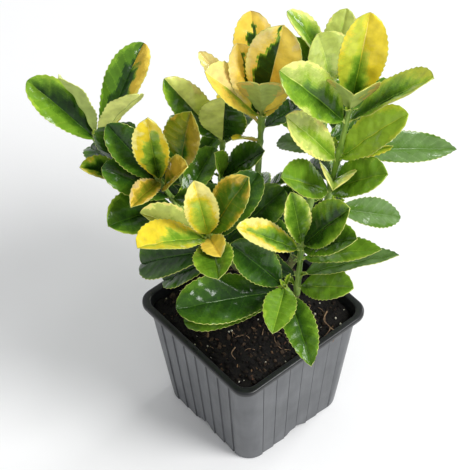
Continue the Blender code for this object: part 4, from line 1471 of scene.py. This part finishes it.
def make_twigs(name, stem, twigs, materials):
    """One shoot's green stem and side twigs, with joints, axil buds and a bud at the tip."""
    dice = random.Random("twigs " + name)
    heap = Heap()
    path, radii = stem
    pairs = SHOOTS[name]["pairs"]
    widths = jointed(radii, STEM_STEPS, [share for share, *_ in pairs], 0.42, 0.03)
    heap.add(*rough_stem(fine_path(path, STEM_STEPS), widths, 14, 0.1, 0.07), 0)
    for twig in twigs:
        widths = jointed(taper(*SPRIG_RADII, 1), TWIG_STEPS, SPRIG_NODES, 0.3, 0.08)
        heap.add(*rough_stem(fine_path(twig, TWIG_STEPS), widths, 10, 0.06, 0.05), 0)
        add_bud(heap, twig[-1], (twig[-1] - twig[0]).normalized(), 3.2, 0.9)
    for share, *pair in pairs:
        root, stem_way = along(path, min(share, 0.98))
        for shape in pair:
            out_way = direction(shape["heading"], shape["lift"] * 0.5)
            out_way = (out_way - stem_way * out_way.dot(stem_way)).normalized()
            start = root + out_way * radii[-1] + stem_way * 1.2 * MM
            add_bud(heap, start, (stem_way + out_way * 0.55).normalized(), dice.uniform(2.0, 3.4), 0.8)
    tip_way = (path[-1] - path[-2]).normalized()
    add_bud(heap, path[-1] - tip_way * 0.5 * MM, tip_way, 5.0, 1.35)
    piece = heap.mesh("twigs_" + name, materials, sharp=SHARP)
    finish_piece(piece, "stems", "foliage_" + name)


def bark_looks(name, faces, fine, sides):
    """Brown bark low down, olive in between and green rind higher up, with ragged borders."""
    dice = random.Random("bark " + name)
    looks = []
    for face in faces:
        row = min(face[0] // sides, len(fine) - 1)
        height = (fine[row].z - SOIL_TOP) / MM + dice.uniform(-7, 7)
        looks.append(0 if height < BROWN_TOP else 1 if height < OLIVE_TOP else 2)
    return looks


def make_bark(paths, materials):
    """The main stem and every bough as one skin of bark, each bough with a collar where it starts."""
    heap = Heap()
    for name, (path, radii) in paths.items():
        trunk = name == "main_stem"
        length = sum((b - a).length for a, b in zip(path, path[1:])) / MM
        steps = max(24, round(length / BARK_STEP))
        if trunk:
            path = [path[0] - Vector((0, 0, 1.5 * MM))] + path[1:]
        else:
            path = path[:-1] + [path[-1] + shoot_way(name) * 1.2 * MM]
        fine = fine_path(path, steps)
        scars = [k * SCAR_SPACING / length for k in range(1, int(length / SCAR_SPACING) + 1)]
        widths = jointed(radii, steps, scars, 0.3, 1.6 / length)
        if not trunk:
            widths += COLLAR * MM * np.exp(-np.linspace(0, length / COLLAR_LENGTH, steps + 1))
        sides = 22 if trunk else 16
        points, faces = rough_stem(fine, widths, sides, 0.3 if trunk else 0.16, 0.05)
        heap.add(points, faces, bark_looks(name, faces, fine, sides))
    piece = heap.mesh("bark", materials, sharp=SHARP)
    finish_piece(piece, "stems", "main_stem", *("bough_" + name for name in LIMBS))


# The stage


def make_stage():
    """A pale floor, a soft white world, a key from the front right and a small light behind at the right."""
    half = FLOOR_HALF
    floor = add_mesh("floor", [(-half, -half, 0), (half, -half, 0), (half, half, 0), (-half, half, 0)],
                     [[0, 1, 2, 3]], [], smooth=False)
    material = start_material("floor_paper", 0.85, 0.2)
    add_ramp(material, "Base Color", add_noise(material, 3, 2), (0.3, grey(0.92)), (0.7, grey(0.94)))
    floor.data.materials.append(material)
    world = bpy.data.worlds.new("studio")
    world.use_nodes = True
    background = world.node_tree.nodes["Background"].inputs
    background["Color"].default_value = (0.97, 0.98, 1.0, 1.0)
    background["Strength"].default_value = WORLD_LIGHT
    bpy.context.scene.world = world
    for name, (heading, lift, distance, size, power) in LAMPS.items():
        data = bpy.data.lights.new(name, "AREA")
        data.shape = "DISK"
        data.size = size
        data.energy = power
        lamp = bpy.data.objects.new(name, data)
        way = direction(heading, lift)
        lamp.location = way * distance + Vector((0, 0, LAMP_AIM))
        lamp.rotation_euler = (-way).to_track_quat("-Z", "Y").to_euler()
        bpy.context.scene.collection.objects.link(lamp)


def make_camera():
    data = bpy.data.cameras.new("camera")
    data.lens = CAMERA_LENS
    data.sensor_width = SENSOR
    camera = bpy.data.objects.new("camera", data)
    level = math.cos(CAMERA_ELEVATION)
    rise = math.sin(CAMERA_ELEVATION)
    back = Vector((math.sin(CAMERA_AZIMUTH) * level, -math.cos(CAMERA_AZIMUTH) * level, rise))
    right = Vector((math.cos(CAMERA_AZIMUTH), math.sin(CAMERA_AZIMUTH), 0))
    up = back.cross(right)
    turned_right = right * math.cos(CAMERA_ROLL) + up * math.sin(CAMERA_ROLL)
    turned_up = up * math.cos(CAMERA_ROLL) - right * math.sin(CAMERA_ROLL)
    turn = Matrix((turned_right, turned_up, back)).transposed()
    camera.matrix_world = Matrix.Translation(CAMERA_PLACE) @ turn.to_4x4()
    bpy.context.scene.collection.objects.link(camera)
    bpy.context.scene.camera = camera
    bpy.context.scene.view_settings.view_transform = "Standard"


def make_ground():
    black = earth_material("peat_black", (6, 5, 5), (26, 22, 19))
    brown = earth_material("peat_brown", (18, 13, 10), (46, 36, 28))
    pale = earth_material("peat_dry", (46, 36, 27), (80, 64, 49))
    tan = earth_material("bark_tan", (88, 66, 46), (142, 112, 82), 0.8)
    red = earth_material("bark_red", (60, 40, 30), (100, 66, 48), 0.8)
    straw = earth_material("root_straw", (116, 92, 70), (164, 134, 104), 0.7)
    white = earth_material("perlite", (196, 190, 166), (236, 232, 214), 0.8)
    make_soil_bed(black)
    make_crumbs([black, brown, pale])
    make_bark_bits([tan, red])
    make_fibres(straw)
    make_grit(white)


def make_plant():
    paths = limb_paths()
    stems, grown, placed = grow_shoots(paths)
    leaf_materials = {name: leaf_material(name, colour) for name, colour in ladder_colours().items()}
    rind = stem_material("green_rind", (100, 136, 50), (160, 190, 88), 0.42)
    bud = stem_material("bud_scales", (122, 152, 66), (176, 196, 104), 0.4)
    brown = stem_material("brown_bark", (66, 52, 36), (122, 104, 74), 0.75)
    olive = stem_material("olive_bark", (70, 76, 38), (116, 118, 66), 0.6)
    make_bark(paths, [brown, olive, rind])
    for name, (twigs, blades) in grown.items():
        make_leaves(name, blades, grow_leaflets(name, stems[name][0], placed), leaf_materials)
        make_twigs(name, stems[name], twigs, [rind, bud])


make_camera()
make_stage()
make_pot()
make_ground()
make_plant()

bpy.context.view_layer.update()
